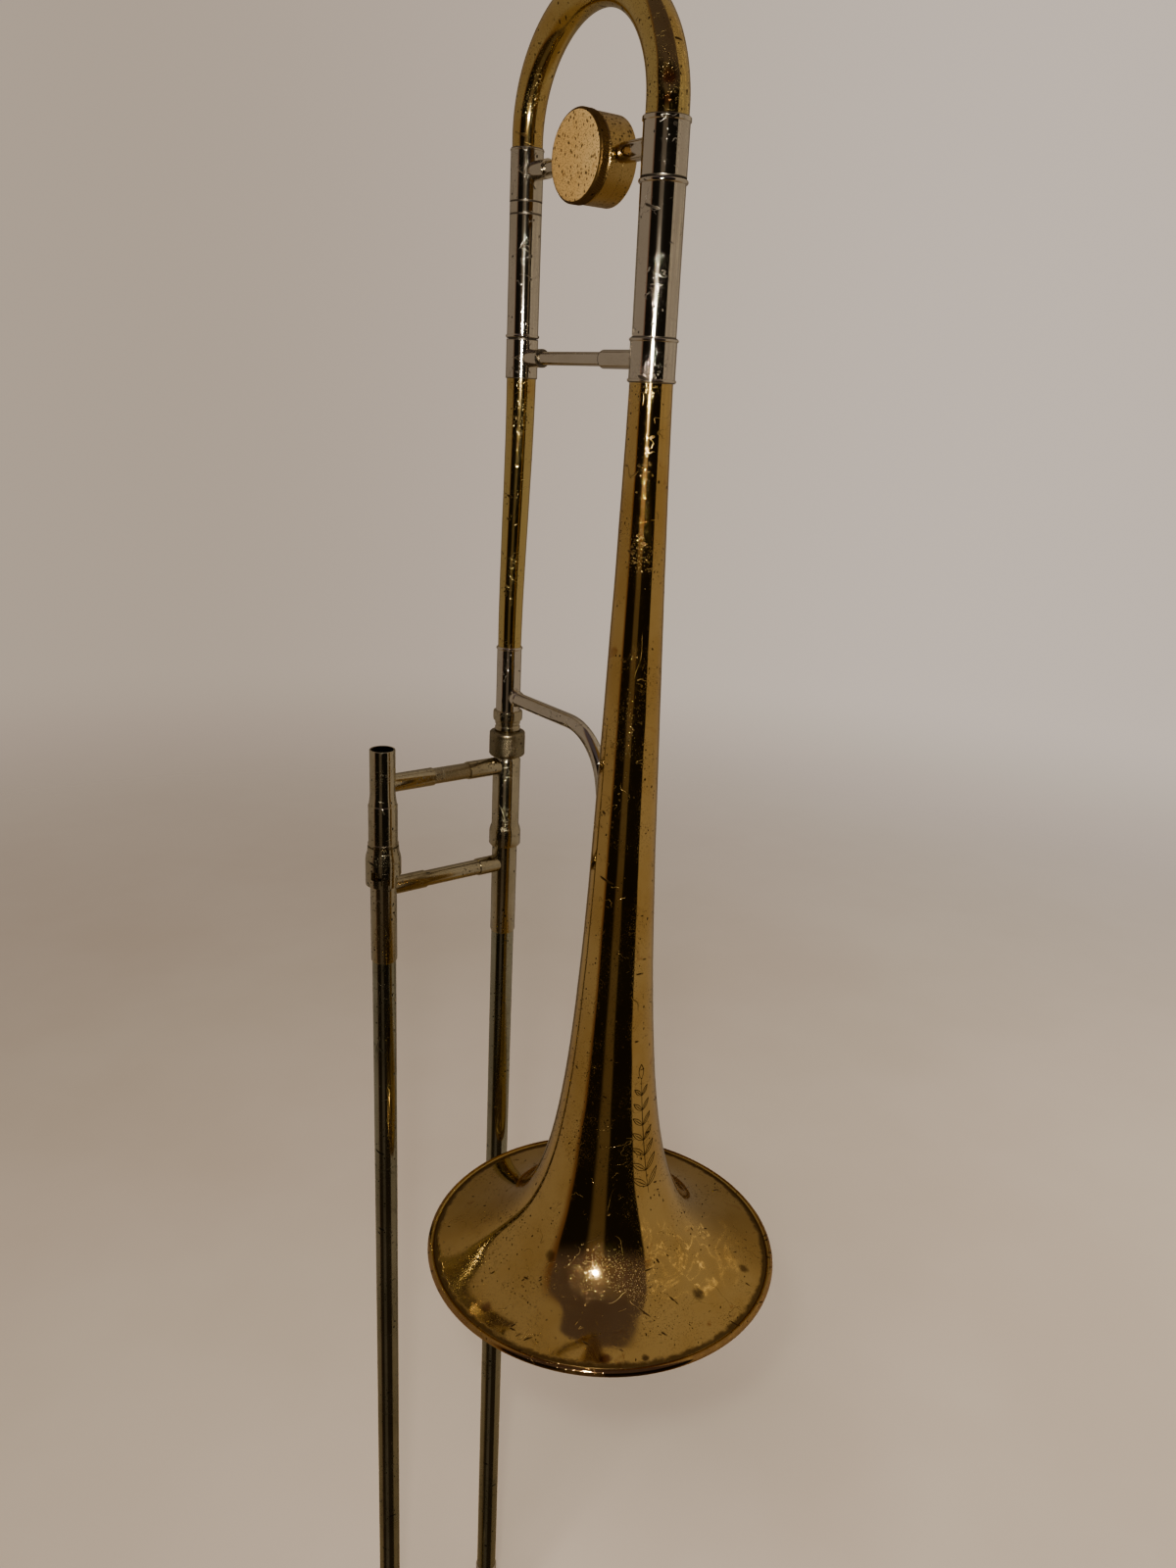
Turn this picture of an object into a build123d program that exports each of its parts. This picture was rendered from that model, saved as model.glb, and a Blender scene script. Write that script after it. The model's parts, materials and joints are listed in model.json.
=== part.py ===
"""Slide trombone, straight small-bore tenor, standing on the bumper of its hand slide.

The pieces are drawn with +Z up the slide tubes, the slide tube under the gooseneck on X = 0, Y = 0,
the mouthpiece side of the slide at X = -SLIDE_CENTRES and the bell on the -Y side.  Z = 0 is the tip
of the rubber bumper.  write() then moves each piece by ROW_SHIFT along X, so that the tip of the
bumper is the origin of the finished part.  All sizes are in millimetres.
"""
from build123d import *
import os
from math import cos, hypot, radians, sin

os.makedirs("parts", exist_ok=True)

# ---- driving dimensions -------------------------------------------------------------------------
SLIDE_CENTRES = 83.0        # between the two hand-slide tubes
BELL_OFFSET = 118.0         # slide axis to bell axis
NECK_OFFSET = 5.0           # how far the upper gooseneck stands towards the bell
BELL_RIM_Z = 477.0
BELL_TOP_Z = 976.0          # where the bell stem meets the tuning receiver
BELL_SEAM_Z = 567.0         # brazed seam between the spun flare and the bell tail
BELL_RIM_RADIUS = 101.6     # 8 inch bell
BELL_STEM_RADIUS = 10.5
BELL_WALL = 0.6
FLARE_POWER = 0.55          # the flare follows r = k * (distance + FLARE_SHIFT) ** -FLARE_POWER
FLARE_SHIFT = 10.5

BORE = 12.3                 # hand-slide bore
INNER_TUBE_OD = 13.0
STOCKING_OD = 13.1
OUTER_TUBE_ID = 13.4
OUTER_TUBE_OD = 14.1
SLEEVE_OD = 15.4            # nickel sleeves at the top of the outer slide
BARREL_OD = 16.8            # cork barrels of the inner slide
BARREL_ID = 15.8
BARREL_LIP_OD = 18.0
RIGHT_BARREL = 8.3          # radius of the bell-side barrel
RING_TOP_Z = 708.0          # slide lock ring
RING_BOTTOM_Z = 684.5
RING_CUT_Z = 691.0          # underside of the ring where it passes over the brace
OUTER_TOP_Z = 712.0         # top of the outer slide, inside the cork barrels
SLEEVE_BOTTOM_Z = 635.0
INNER_BOTTOM_Z = 88.0
STOCKING_LENGTH = 120.0
LEADPIPE_LENGTH = 190.0
BARREL_BOTTOM_Z = 699.0
BARREL_TOP_Z = 733.5
RECEIVER_TOP_Z = 766.0      # mouth of the mouthpiece receiver
INNER_BRACE_Z = 745.0
OUTER_BRACE_Z = 681.5
SLIDE_SOCKET_OD = 10.6      # hand-slide brace sockets and rods
SLIDE_ROD_OD = 9.4

CROOK_CENTRE_Z = 58.0       # the crook is the U bend at the foot of the outer slide
CROOK_LEG_TOP_Z = 84.0
OUTER_TUBE_BOTTOM_Z = 70.0
CROOK_OD = 13.3
CROOK_ID = 12.3
CROOK_FERRULE_OD = 15.6
GUARD_IN = 6.65
GUARD_OUT = 7.7

NECK_RING_Z = 818.0         # bead between the neck receiver and the brass gooseneck
NECK_RECEIVER_OD = 14.4
NECK_RECEIVER_ID = 12.0
GOOSENECK_LOW_OD = 13.6
GOOSENECK_HIGH_OD = 16.0
GOOSENECK_WALL = 0.6
NUT_BOTTOM_Z = 751.3
NUT_TOP_Z = 766.5
COLLAR_RING_Z = 773.5       # underside of the collar above the thread
NUT_OD = 21.4
THREAD_OD = 15.0
STAY_Z = 788.0              # curved stay from the neck receiver to the bell stem
STAY_OD = 8.0
STAY_BEND = 34.0
STAY_TURN = 78.0

FERRULE_BOTTOM_Z = 967.0    # lower ferrules of the bell section
FERRULE_TOP_Z = 987.0
LEG_RING_Z = 988.5
TUNING_JOINT_Z = 1054.0     # where the bow ferrules begin
BOW_FERRULE_TOP_Z = 1079.0
BOW_CENTRE_Z = 1083.5
NECK_FERRULE_OD = 17.2
NECK_LEG_OD = 15.0
NECK_LEG_ID = 14.0
OUTER_LEG_OD = 16.9
OUTER_LEG_ID = 15.3
BELL_FERRULE_OD = 22.2
BELL_RECEIVER_OD = 21.0
BELL_RECEIVER_ID = 19.8
INNER_LEG_OD = 19.5
INNER_LEG_ID = 18.5
BOW_FERRULE_OD = 21.2
BOW_SMALL_OD = 15.9
BOW_LARGE_OD = 19.8
BOW_WALL = 0.6
BELL_BRACE_Z = 977.5
TUNING_BRACE_Z = 1068.0
BRACE_SOCKET_OD = 9.4
BRACE_ROD_OD = 6.8

WEIGHT_OD = 40.5            # counterweight on the tuning brace
WEIGHT_SHIFT = 6.0          # from the middle of the bow towards the bell
WEIGHT_DROP = 0.8           # middle of the counterweight below the brace rod
WEIGHT_HALF = 8.5
CAP_THICKNESS = 5.5
WEIGHT_SCREW_RADIUS = 2.5
WEIGHT_SCREW_RAISE = 9.0    # screw above the middle of the counterweight

MOUTH_X = -SLIDE_CENTRES
CROOK_X = -SLIDE_CENTRES / 2
CROOK_RADIUS = SLIDE_CENTRES / 2
ROW_SHIFT = SLIDE_CENTRES / 2
NECK_Y = -NECK_OFFSET
BELL_Y = -BELL_OFFSET
BOW_RADIUS = (BELL_OFFSET - NECK_OFFSET) / 2
BOW_Y = (NECK_Y + BELL_Y) / 2
WEIGHT_Y = BOW_Y - WEIGHT_SHIFT
WEIGHT_Z = TUNING_BRACE_Z - WEIGHT_DROP

LUG_ANGLE = -110.0          # where the lock lug points, from +X
LUG_Z = 692.0
KEY_X = -28.0               # the water key stands beside the bumper
KEY_CENTRE_Z = CROOK_CENTRE_Z - (CROOK_RADIUS ** 2 - (KEY_X - CROOK_X) ** 2) ** 0.5
NIPPLE_DIRECTION = (0, -0.8, -0.6)
NIPPLE_REACH = 9.5          # crook axis to the nipple's face
NIPPLE_BORE_RADIUS = 1.6
PIVOT_Y = -12.0
PIVOT_Z = KEY_CENTRE_Z + 9.0
PIN_RADIUS = 1.0
LEVER_TIP_Z = 103.0


# ---- shared helpers -----------------------------------------------------------------------------
def write(piece, name):
    """Label one finished piece, move it into the row frame and write it as its own STEP file."""
    placed = piece.part.moved(Location((ROW_SHIFT, 0, 0)))
    placed.label = name
    export_step(placed, f"parts/{name}.step")


def side_plane(x, y):
    """Vertical plane through an upright axis: local x is the radius, local y is the height."""
    return Plane(origin=(x, y, 0), x_dir=(1, 0, 0), z_dir=(0, -1, 0))


def disc(plane, radius):
    """Flat round section on a plane."""
    with BuildSketch(plane) as section:
        Circle(radius)
    return section.sketch


def turned(x, y, outline):
    """Solid of revolution about the upright axis at x, y from a closed (radius, height) outline."""
    with BuildPart() as piece:
        with BuildSketch(side_plane(x, y)):
            with BuildLine():
                Polyline(*outline, close=True)
            make_face()
        revolve(axis=Axis((x, y, 0), (0, 0, 1)))
    return piece


def tube(x, y, low, high, outer, inner):
    """Upright round tube given by its diameters."""
    half_out = outer / 2
    half_in = inner / 2
    return turned(x, y, [(half_in, low), (half_out, low), (half_out, high), (half_in, high)])


def beaded_tube(x, y, low, high, outer, inner, beads, bead_radius=0.9):
    """Upright tube with a round bead standing out of it at each listed height."""
    with BuildPart() as piece:
        with BuildSketch(Plane((x, y, low))):
            Circle(outer / 2)
            Circle(inner / 2, mode=Mode.SUBTRACT)
        extrude(amount=high - low)
        with Locations(*[(x, y, height) for height in beads]):
            Torus(outer / 2 - 0.2, bead_radius)
        with Locations((x, y, low - 5)):
            Cylinder(inner / 2, high - low + 10, align=(Align.CENTER, Align.CENTER, Align.MIN),
                     mode=Mode.SUBTRACT)
    return piece


def rod_along_x(z, start, end, outer, inner, tube_x=None, tube_od=0.0):
    """Hollow rod or socket along X on the slide plane, notched to sit on an upright tube."""
    with BuildPart() as piece:
        with BuildSketch(Plane(origin=(start, 0, z), x_dir=(0, 1, 0), z_dir=(1, 0, 0))):
            Circle(outer / 2)
        extrude(amount=end - start)
        with BuildSketch(Plane(origin=(start - 5, 0, z), x_dir=(0, 1, 0), z_dir=(1, 0, 0))):
            Circle(inner / 2)
        extrude(amount=end - start + 10, mode=Mode.SUBTRACT)
        if tube_x is not None:
            with Locations((tube_x, 0, z)):
                Cylinder(tube_od / 2, 4 * outer, mode=Mode.SUBTRACT)
    return piece


def rod_along_y(z, start, end, outer, inner):
    """Hollow rod along -Y in the bell plane, from start to end measured from the slide axis."""
    with BuildPart() as piece:
        with BuildSketch(Plane(origin=(0, -start, z), x_dir=(1, 0, 0), z_dir=(0, -1, 0))):
            Circle(outer / 2)
            Circle(inner / 2, mode=Mode.SUBTRACT)
        extrude(amount=end - start)
    return piece


def saddle_socket(z, tube_y, tube_od, reach, outer, inner, foot_height, foot_width):
    """Brace socket with a diamond foot wrapped on an upright tube of the bell section."""
    foot_od = tube_od + 1.2
    with BuildPart() as piece:
        with Locations((0, tube_y, z)):
            Cylinder(foot_od / 2, foot_height + 4)
        with BuildSketch(Plane(origin=(0, tube_y, z), x_dir=(1, 0, 0), z_dir=(0, reach / abs(reach), 0))):
            with BuildLine():
                Polyline((foot_width / 2, 0), (0, foot_height / 2), (-foot_width / 2, 0),
                         (0, -foot_height / 2), close=True)
            make_face()
        extrude(amount=tube_od, mode=Mode.INTERSECT)
        with BuildSketch(Plane(origin=(0, tube_y, z), x_dir=(1, 0, 0), z_dir=(0, reach / abs(reach), 0))):
            Circle(outer / 2)
        extrude(amount=abs(reach))
        with BuildSketch(Plane(origin=(0, tube_y, z), x_dir=(1, 0, 0), z_dir=(0, reach / abs(reach), 0))):
            Circle(inner / 2)
        extrude(amount=abs(reach) + 1, mode=Mode.SUBTRACT)
        with Locations((0, tube_y, z)):
            Cylinder(tube_od / 2, foot_height + 30, mode=Mode.SUBTRACT)
    return piece


# ---- bell ---------------------------------------------------------------------------------------
def flare_radius(distance):
    """Outer radius of the bell at a distance above the rim."""
    scale = BELL_RIM_RADIUS * FLARE_SHIFT ** FLARE_POWER
    return scale * (distance + FLARE_SHIFT) ** -FLARE_POWER


def bell_point(distance, inset):
    """Point of the bell's outline, moved in by inset along the wall's normal."""
    slope = -FLARE_POWER * flare_radius(distance) / (distance + FLARE_SHIFT)
    length = hypot(1.0, slope)
    return (flare_radius(distance) - inset / length, BELL_RIM_Z + distance + inset * slope / length)


def bell_side(inset):
    """Points up one side of the bell wall, from the rim to the top of the stem."""
    stem_radius = BELL_STEM_RADIUS - inset
    flare = [bell_point(distance, inset) for distance in (0, 3, 8, 18, 36, 70, 130, 200, 280)]
    stem = [(13.0 - inset, BELL_RIM_Z + 385), (stem_radius, FERRULE_BOTTOM_Z), (stem_radius, BELL_TOP_Z)]
    return flare + stem


def make_bell():
    """Brass bell in two pieces: a spun flare whose rim is rolled over a wire, and the drawn tail."""
    outside = bell_side(0.0)
    inside = bell_side(BELL_WALL)
    bead_centre = (BELL_RIM_RADIUS - 0.4, BELL_RIM_Z - 0.6)
    with BuildPart() as bell:
        with BuildSketch(side_plane(0, BELL_Y)):
            with BuildLine():
                outer_curve = Spline(*outside[:-1])
                Line(outside[-2], outside[-1])
                Line(outside[-1], inside[-1])
                Line(inside[-1], inside[-2])
                inner_curve = Spline(*inside[:-1])
                Line(inner_curve @ 0, outer_curve @ 0)
            make_face()
            with Locations(bead_centre):
                Circle(2.1)
                Circle(1.3, mode=Mode.SUBTRACT)
        revolve(axis=Axis((0, BELL_Y, 0), (0, 0, 1)))
    for name, kept in (("bell_flare", Keep.BOTTOM), ("bell_tail", Keep.TOP)):
        with BuildPart() as piece:
            add(bell.part)
            split(bisect_by=Plane.XY.offset(BELL_SEAM_Z), keep=kept)
        write(piece, name)

    with BuildPart() as rim_wire:
        with Locations((0, BELL_Y, bead_centre[1])):
            Torus(bead_centre[0], 1.3)
    write(rim_wire, "bell_rim_wire")


# ---- fixed tubes of the bell section ------------------------------------------------------------
def make_bell_section_tubes():
    """Ferrules, tuning receiver and the inner tuning leg on the gooseneck side."""
    bell_ferrule = beaded_tube(0, BELL_Y, FERRULE_BOTTOM_Z, FERRULE_TOP_Z, BELL_FERRULE_OD,
                               BELL_RECEIVER_OD, [FERRULE_BOTTOM_Z + 1, FERRULE_TOP_Z - 1], 0.8)
    write(bell_ferrule, "bell_ferrule")

    receiver = beaded_tube(0, BELL_Y, BELL_TOP_Z, TUNING_JOINT_Z, BELL_RECEIVER_OD,
                           BELL_RECEIVER_ID, [TUNING_JOINT_Z - 1.2], 1.1)
    write(receiver, "bell_tuning_receiver")

    half_out = NECK_FERRULE_OD / 2
    neck_ferrule = turned(0, NECK_Y, [
        (GOOSENECK_HIGH_OD / 2, FERRULE_BOTTOM_Z), (half_out, FERRULE_BOTTOM_Z), (half_out, FERRULE_TOP_Z),
        (NECK_LEG_OD / 2, FERRULE_TOP_Z), (NECK_LEG_OD / 2, BELL_TOP_Z), (GOOSENECK_HIGH_OD / 2, BELL_TOP_Z)])
    write(neck_ferrule, "neck_upper_ferrule")

    neck_leg = tube(0, NECK_Y, BELL_TOP_Z, TUNING_JOINT_Z - 6, NECK_LEG_OD, NECK_LEG_ID)
    write(neck_leg, "neck_tuning_leg")


def gooseneck_shape(inset):
    """Stations of the gooseneck: height, Y of the axis and radius, inset from the outer surface."""
    low = GOOSENECK_LOW_OD / 2 - inset
    high = GOOSENECK_HIGH_OD / 2 - inset
    length = FERRULE_BOTTOM_Z - NECK_RING_Z
    stations = []
    for step in range(9):
        part = step / 8
        shift = part * part * (3 - 2 * part)
        stations.append((NECK_RING_Z + part * length, NECK_Y * shift, low + (high - low) * part))
    return stations


def add_gooseneck(inset, mode):
    """The bent taper and its two straight ends, which sit in the ferrules."""
    sections = [disc(Plane((0, axis_y, height)), radius) for height, axis_y, radius in gooseneck_shape(inset)]
    loft(sections, mode=mode)
    low_end = disc(Plane((0, 0, NECK_RING_Z - 10)), GOOSENECK_LOW_OD / 2 - inset)
    extrude(low_end, amount=10, mode=mode)
    high_end = disc(Plane((0, NECK_Y, FERRULE_BOTTOM_Z)), GOOSENECK_HIGH_OD / 2 - inset)
    extrude(high_end, amount=BELL_TOP_Z - FERRULE_BOTTOM_Z, mode=mode)


def make_gooseneck():
    """Tapered brass neck tube with a slight double bend towards the bell."""
    with BuildPart() as gooseneck:
        add_gooseneck(0.0, Mode.ADD)
        add_gooseneck(GOOSENECK_WALL, Mode.SUBTRACT)
    write(gooseneck, "gooseneck")


def make_neck_receiver():
    """Nickel neck receiver and the threaded collar that the lock nut screws onto."""
    half_out = NECK_RECEIVER_OD / 2
    half_in = GOOSENECK_LOW_OD / 2
    bore = NECK_RECEIVER_ID / 2
    with BuildPart() as receiver:
        with BuildSketch(side_plane(0, 0)):
            with BuildLine():
                Polyline((bore, COLLAR_RING_Z + 2), (half_out, COLLAR_RING_Z + 2), (half_out, NECK_RING_Z),
                         (half_in, NECK_RING_Z), (half_in, NECK_RING_Z - 10), (bore, NECK_RING_Z - 12),
                         close=True)
            make_face()
        revolve(axis=Axis.Z)
        with Locations((0, 0, NECK_RING_Z - 1)):
            Torus(half_out - 0.2, 0.8)
        with Locations((0, 0, NECK_RING_Z)):
            Cylinder(half_in, 20, mode=Mode.SUBTRACT)
    write(receiver, "neck_receiver")

    thread_bottom = NUT_BOTTOM_Z + 5.7
    thread = THREAD_OD / 2
    root = thread - 0.4
    grooves = []
    for turn in range(4):
        height = thread_bottom + 1.5 + turn * 3.6
        grooves += [(thread, height), (root, height + 0.5), (root, height + 1.3), (thread, height + 1.8)]
    ring = COLLAR_RING_Z
    collar = turned(0, 0, [(6.55, thread_bottom), (thread, thread_bottom)] + grooves + [
        (thread, ring - 0.6), (8.5, ring), (8.7, ring + 1), (8.7, ring + 4.6), (8.5, ring + 5.6),
        (half_out, ring + 6), (half_out, ring + 2), (bore, ring + 2)])
    write(collar, "neck_lock_collar")


def make_bell_braces():
    """Straight lower brace between the neck and bell ferrules."""
    neck_socket = saddle_socket(BELL_BRACE_Z, NECK_Y, NECK_FERRULE_OD, -20.0, BRACE_SOCKET_OD,
                                BRACE_ROD_OD, 15.0, 15.0)
    write(neck_socket, "bell_brace_neck_socket")
    bell_socket = saddle_socket(BELL_BRACE_Z, BELL_Y, BELL_FERRULE_OD, 38.0, BRACE_SOCKET_OD - 0.4,
                                BRACE_ROD_OD, 15.0, 15.0)
    write(bell_socket, "bell_brace_bell_socket")
    rod = rod_along_y(BELL_BRACE_Z, NECK_OFFSET + 11, BELL_OFFSET - 14, BRACE_ROD_OD, BRACE_ROD_OD - 1.6)
    write(rod, "bell_brace_rod")


def make_curved_stay():
    """Bent tube from the neck receiver out and down to a leaf-shaped foot on the bell stem."""
    start = Vector(0, -NECK_RECEIVER_OD / 2 + 1.0, STAY_Z)
    with BuildPart() as stay:
        with BuildLine(Plane(origin=start, x_dir=(0, -1, 0), z_dir=(-1, 0, 0))):
            first = Line((0, 0), (57.0, 0))
            bend = TangentArc(first @ 1, (57.0 + STAY_BEND * sin(radians(STAY_TURN)),
                                          -STAY_BEND * (1 - cos(radians(STAY_TURN)))), tangent=first % 1)
            Line(bend @ 1, (bend @ 1) + (bend % 1) * 14.0)
        with BuildSketch(Plane(origin=start, x_dir=(1, 0, 0), z_dir=(0, -1, 0))):
            Circle(STAY_OD / 2)
        sweep()
        with Locations((0, -NECK_RECEIVER_OD / 2 - 2.2, STAY_Z)):
            Sphere(STAY_OD / 2 + 0.8)
        with Locations((0, 0, STAY_Z)):
            Cylinder(NECK_RECEIVER_OD / 2, 40, mode=Mode.SUBTRACT)
        with BuildSketch(side_plane(0, BELL_Y)):
            with BuildLine():
                wall = Spline(*[(radius + 0.9, height) for radius, height in bell_side(0.0)[5:-1]])
                Line(wall @ 1, (0, (wall @ 1).Y))
                Line((0, (wall @ 1).Y), (0, (wall @ 0).Y))
                Line((0, (wall @ 0).Y), wall @ 0)
            make_face()
        revolve(axis=Axis((0, BELL_Y, 0), (0, 0, 1)), mode=Mode.SUBTRACT)
    write(stay, "curved_stay")

    leaf_centre = STAY_Z - STAY_BEND - 6.0
    with BuildPart() as foot:
        with BuildSketch(side_plane(0, BELL_Y)):
            with BuildLine():
                outer = Spline(*[(radius + 0.9, height) for radius, height in bell_side(0.0)[5:-1]])
                inner = Spline(*[(radius + 0.1, height) for radius, height in bell_side(0.0)[5:-1]])
                Line(outer @ 1, inner @ 1)
                Line(outer @ 0, inner @ 0)
            make_face()
        revolve(axis=Axis((0, BELL_Y, 0), (0, 0, 1)))
        with BuildSketch(Plane(origin=(0, BELL_Y, leaf_centre), x_dir=(1, 0, 0), z_dir=(0, 1, 0))):
            with BuildLine():
                tips = [(0, 24.0), (7.0, 0), (0, -24.0), (-7.0, 0)]
                Spline(tips[0], (5.0, 12.0), tips[1], (5.0, -12.0), tips[2])
                Spline(tips[2], (-5.0, -12.0), tips[3], (-5.0, 12.0), tips[0])
            make_face()
        extrude(amount=60.0, mode=Mode.INTERSECT)
    write(foot, "curved_stay_foot")


# ---- tuning slide -------------------------------------------------------------------------------
def bow_section_plane(angle):
    """Plane square to the bow's axis, angle degrees round from the small end."""
    along = BOW_RADIUS * cos(radians(angle))
    up = BOW_RADIUS * sin(radians(angle))
    direction = (0, -sin(radians(angle)), cos(radians(angle)))
    return Plane(origin=(0, BOW_Y + along, BOW_CENTRE_Z + up), x_dir=(1, 0, 0), z_dir=direction)


def add_bow(inset, mode):
    """The tapered half circle and the straight ends that sit in the bow ferrules."""
    small = BOW_SMALL_OD / 2 - inset
    large = BOW_LARGE_OD / 2 - inset
    steps = 12
    sections = []
    for step in range(steps + 1):
        radius = small + (large - small) * step / steps
        sections.append(disc(bow_section_plane(180.0 * step / steps), radius))
    loft(sections, mode=mode)
    for axis_y, radius in ((NECK_Y, small), (BELL_Y, large)):
        end = disc(Plane((0, axis_y, TUNING_BRACE_Z)), radius)
        extrude(end, amount=BOW_CENTRE_Z - TUNING_BRACE_Z, mode=mode)


def make_tuning_bow():
    """Tapered brass U bend at the top of the instrument."""
    with BuildPart() as bow:
        add_bow(0.0, Mode.ADD)
        add_bow(BOW_WALL, Mode.SUBTRACT)
    write(bow, "tuning_bow")


def make_tuning_legs():
    """Ferrules and the two sliding legs of the tuning slide."""
    small_ferrule = beaded_tube(0, NECK_Y, TUNING_JOINT_Z, BOW_FERRULE_TOP_Z, OUTER_LEG_OD + 0.2,
                                BOW_SMALL_OD, [BOW_FERRULE_TOP_Z - 0.8], 0.5)
    write(small_ferrule, "bow_ferrule_small")

    large_ferrule = turned(0, BELL_Y, [
        (INNER_LEG_OD / 2, TUNING_JOINT_Z + 0.3), (BOW_FERRULE_OD / 2, TUNING_JOINT_Z + 0.3),
        (BOW_FERRULE_OD / 2, BOW_FERRULE_TOP_Z - 2.5), (BOW_FERRULE_OD / 2 + 0.5, BOW_FERRULE_TOP_Z - 2.0),
        (BOW_FERRULE_OD / 2 + 0.5, BOW_FERRULE_TOP_Z - 0.5), (BOW_FERRULE_OD / 2, BOW_FERRULE_TOP_Z),
        (BOW_LARGE_OD / 2, BOW_FERRULE_TOP_Z), (BOW_LARGE_OD / 2, TUNING_BRACE_Z),
        (INNER_LEG_OD / 2, TUNING_BRACE_Z)])
    write(large_ferrule, "bow_ferrule_large")

    outer_leg = beaded_tube(0, NECK_Y, FERRULE_TOP_Z + 0.4, TUNING_JOINT_Z, OUTER_LEG_OD, OUTER_LEG_ID,
                            [LEG_RING_Z], 0.85)
    write(outer_leg, "tuning_outer_leg")

    inner_leg = tube(0, BELL_Y, FERRULE_TOP_Z + 2, TUNING_BRACE_Z, INNER_LEG_OD, INNER_LEG_ID)
    write(inner_leg, "tuning_inner_leg")


def make_tuning_brace():
    """Two-socket brace between the bow ferrules; the counterweight is clamped on its rod."""
    small_socket = saddle_socket(TUNING_BRACE_Z, NECK_Y, OUTER_LEG_OD + 0.2, -20.0, BRACE_SOCKET_OD,
                                 BRACE_ROD_OD, 17.0, 16.0)
    write(small_socket, "tuning_brace_small_socket")
    large_socket = saddle_socket(TUNING_BRACE_Z, BELL_Y, BOW_FERRULE_OD, 29.0, BRACE_SOCKET_OD,
                                 BRACE_ROD_OD, 17.0, 16.0)
    write(large_socket, "tuning_brace_large_socket")
    rod = rod_along_y(TUNING_BRACE_Z, NECK_OFFSET + 11, BELL_OFFSET - 13, BRACE_ROD_OD, BRACE_ROD_OD - 1.6)
    write(rod, "tuning_brace_rod")


def weight_half(side):
    """One half of the round counterweight, grooved for the brace rod and drilled for the clamp screw."""
    with BuildPart() as half:
        with BuildSketch(Plane(origin=(0, WEIGHT_Y, WEIGHT_Z), x_dir=(0, 1, 0),
                               z_dir=(side, 0, 0))):
            Circle(WEIGHT_OD / 2)
        extrude(amount=WEIGHT_HALF)
        outer_edge = half.edges().filter_by(GeomType.CIRCLE).sort_by(Axis.X)
        chamfer(outer_edge[-1] if side > 0 else outer_edge[0], 1.0)
        with Locations(Location((0, WEIGHT_Y, TUNING_BRACE_Z), (90, 0, 0))):
            Cylinder(BRACE_ROD_OD / 2, WEIGHT_OD + 10, mode=Mode.SUBTRACT)
        with Locations(Location((0, WEIGHT_Y, WEIGHT_Z + WEIGHT_SCREW_RAISE), (0, 90, 0))):
            Cylinder(WEIGHT_SCREW_RADIUS, 3 * WEIGHT_HALF, mode=Mode.SUBTRACT)
    return half


def make_counterweight():
    """Two brass halves, the screw that draws them together and the knurled cap over the face."""
    front = weight_half(-1)
    write(front, "counterweight_front")
    rear = weight_half(1)
    write(rear, "counterweight_rear")

    with BuildPart() as screw:
        with Locations(Location((0, WEIGHT_Y, WEIGHT_Z + WEIGHT_SCREW_RAISE), (0, 90, 0))):
            Cylinder(WEIGHT_SCREW_RADIUS, 2 * WEIGHT_HALF - 1)
    write(screw, "counterweight_screw")

    knurls = 90
    knurl_depth = 0.35
    with BuildPart() as cap:
        with BuildSketch(Plane(origin=(-WEIGHT_HALF - 0.1, WEIGHT_Y, WEIGHT_Z), x_dir=(0, 1, 0),
                               z_dir=(-1, 0, 0))):
            Circle(WEIGHT_OD / 2 + 0.5)
            with PolarLocations(WEIGHT_OD / 2 + 0.5, knurls):
                Circle(knurl_depth, mode=Mode.SUBTRACT)
        extrude(amount=CAP_THICKNESS - 1.5)
        with BuildSketch(Plane(origin=(-WEIGHT_HALF - CAP_THICKNESS + 1.4, WEIGHT_Y, WEIGHT_Z),
                               x_dir=(0, 1, 0), z_dir=(-1, 0, 0))):
            Circle(WEIGHT_OD / 2)
        extrude(amount=1.5, taper=25)
    write(cap, "counterweight_cap")


# ---- inner hand slide ---------------------------------------------------------------------------
def make_mouthpiece_receiver():
    """Receiver with a short straight entry and a taper below it, and the leadpipe soldered inside."""
    receiver = turned(MOUTH_X, 0, [
        (6.35, RECEIVER_TOP_Z), (6.35, RECEIVER_TOP_Z - 6), (6.15, BARREL_TOP_Z + 8), (6.15, BARREL_TOP_Z),
        (8.0, BARREL_TOP_Z), (7.9, BARREL_TOP_Z + 1), (7.3, BARREL_TOP_Z + 5.5), (7.3, RECEIVER_TOP_Z - 0.3),
        (7.1, RECEIVER_TOP_Z)])
    write(receiver, "mouthpiece_receiver")

    leadpipe = turned(MOUTH_X, 0, [
        (5.3, BARREL_TOP_Z), (BORE / 2, BARREL_TOP_Z), (BORE / 2, BARREL_TOP_Z - LEADPIPE_LENGTH),
        (5.75, BARREL_TOP_Z - LEADPIPE_LENGTH), (4.9, BARREL_TOP_Z - 40)])
    write(leadpipe, "leadpipe")


def make_inner_tubes():
    """The two inner slide tubes; the stockings are the slightly fatter bottom ends."""
    for name, x in (("inner_tube_mouth_side", MOUTH_X), ("inner_tube_bell_side", 0.0)):
        inner = turned(x, 0, [
            (BORE / 2, INNER_BOTTOM_Z), (STOCKING_OD / 2, INNER_BOTTOM_Z),
            (STOCKING_OD / 2, INNER_BOTTOM_Z + STOCKING_LENGTH),
            (INNER_TUBE_OD / 2, INNER_BOTTOM_Z + STOCKING_LENGTH + 1), (INNER_TUBE_OD / 2, BARREL_TOP_Z),
            (BORE / 2, BARREL_TOP_Z)])
        write(inner, name)


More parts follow.
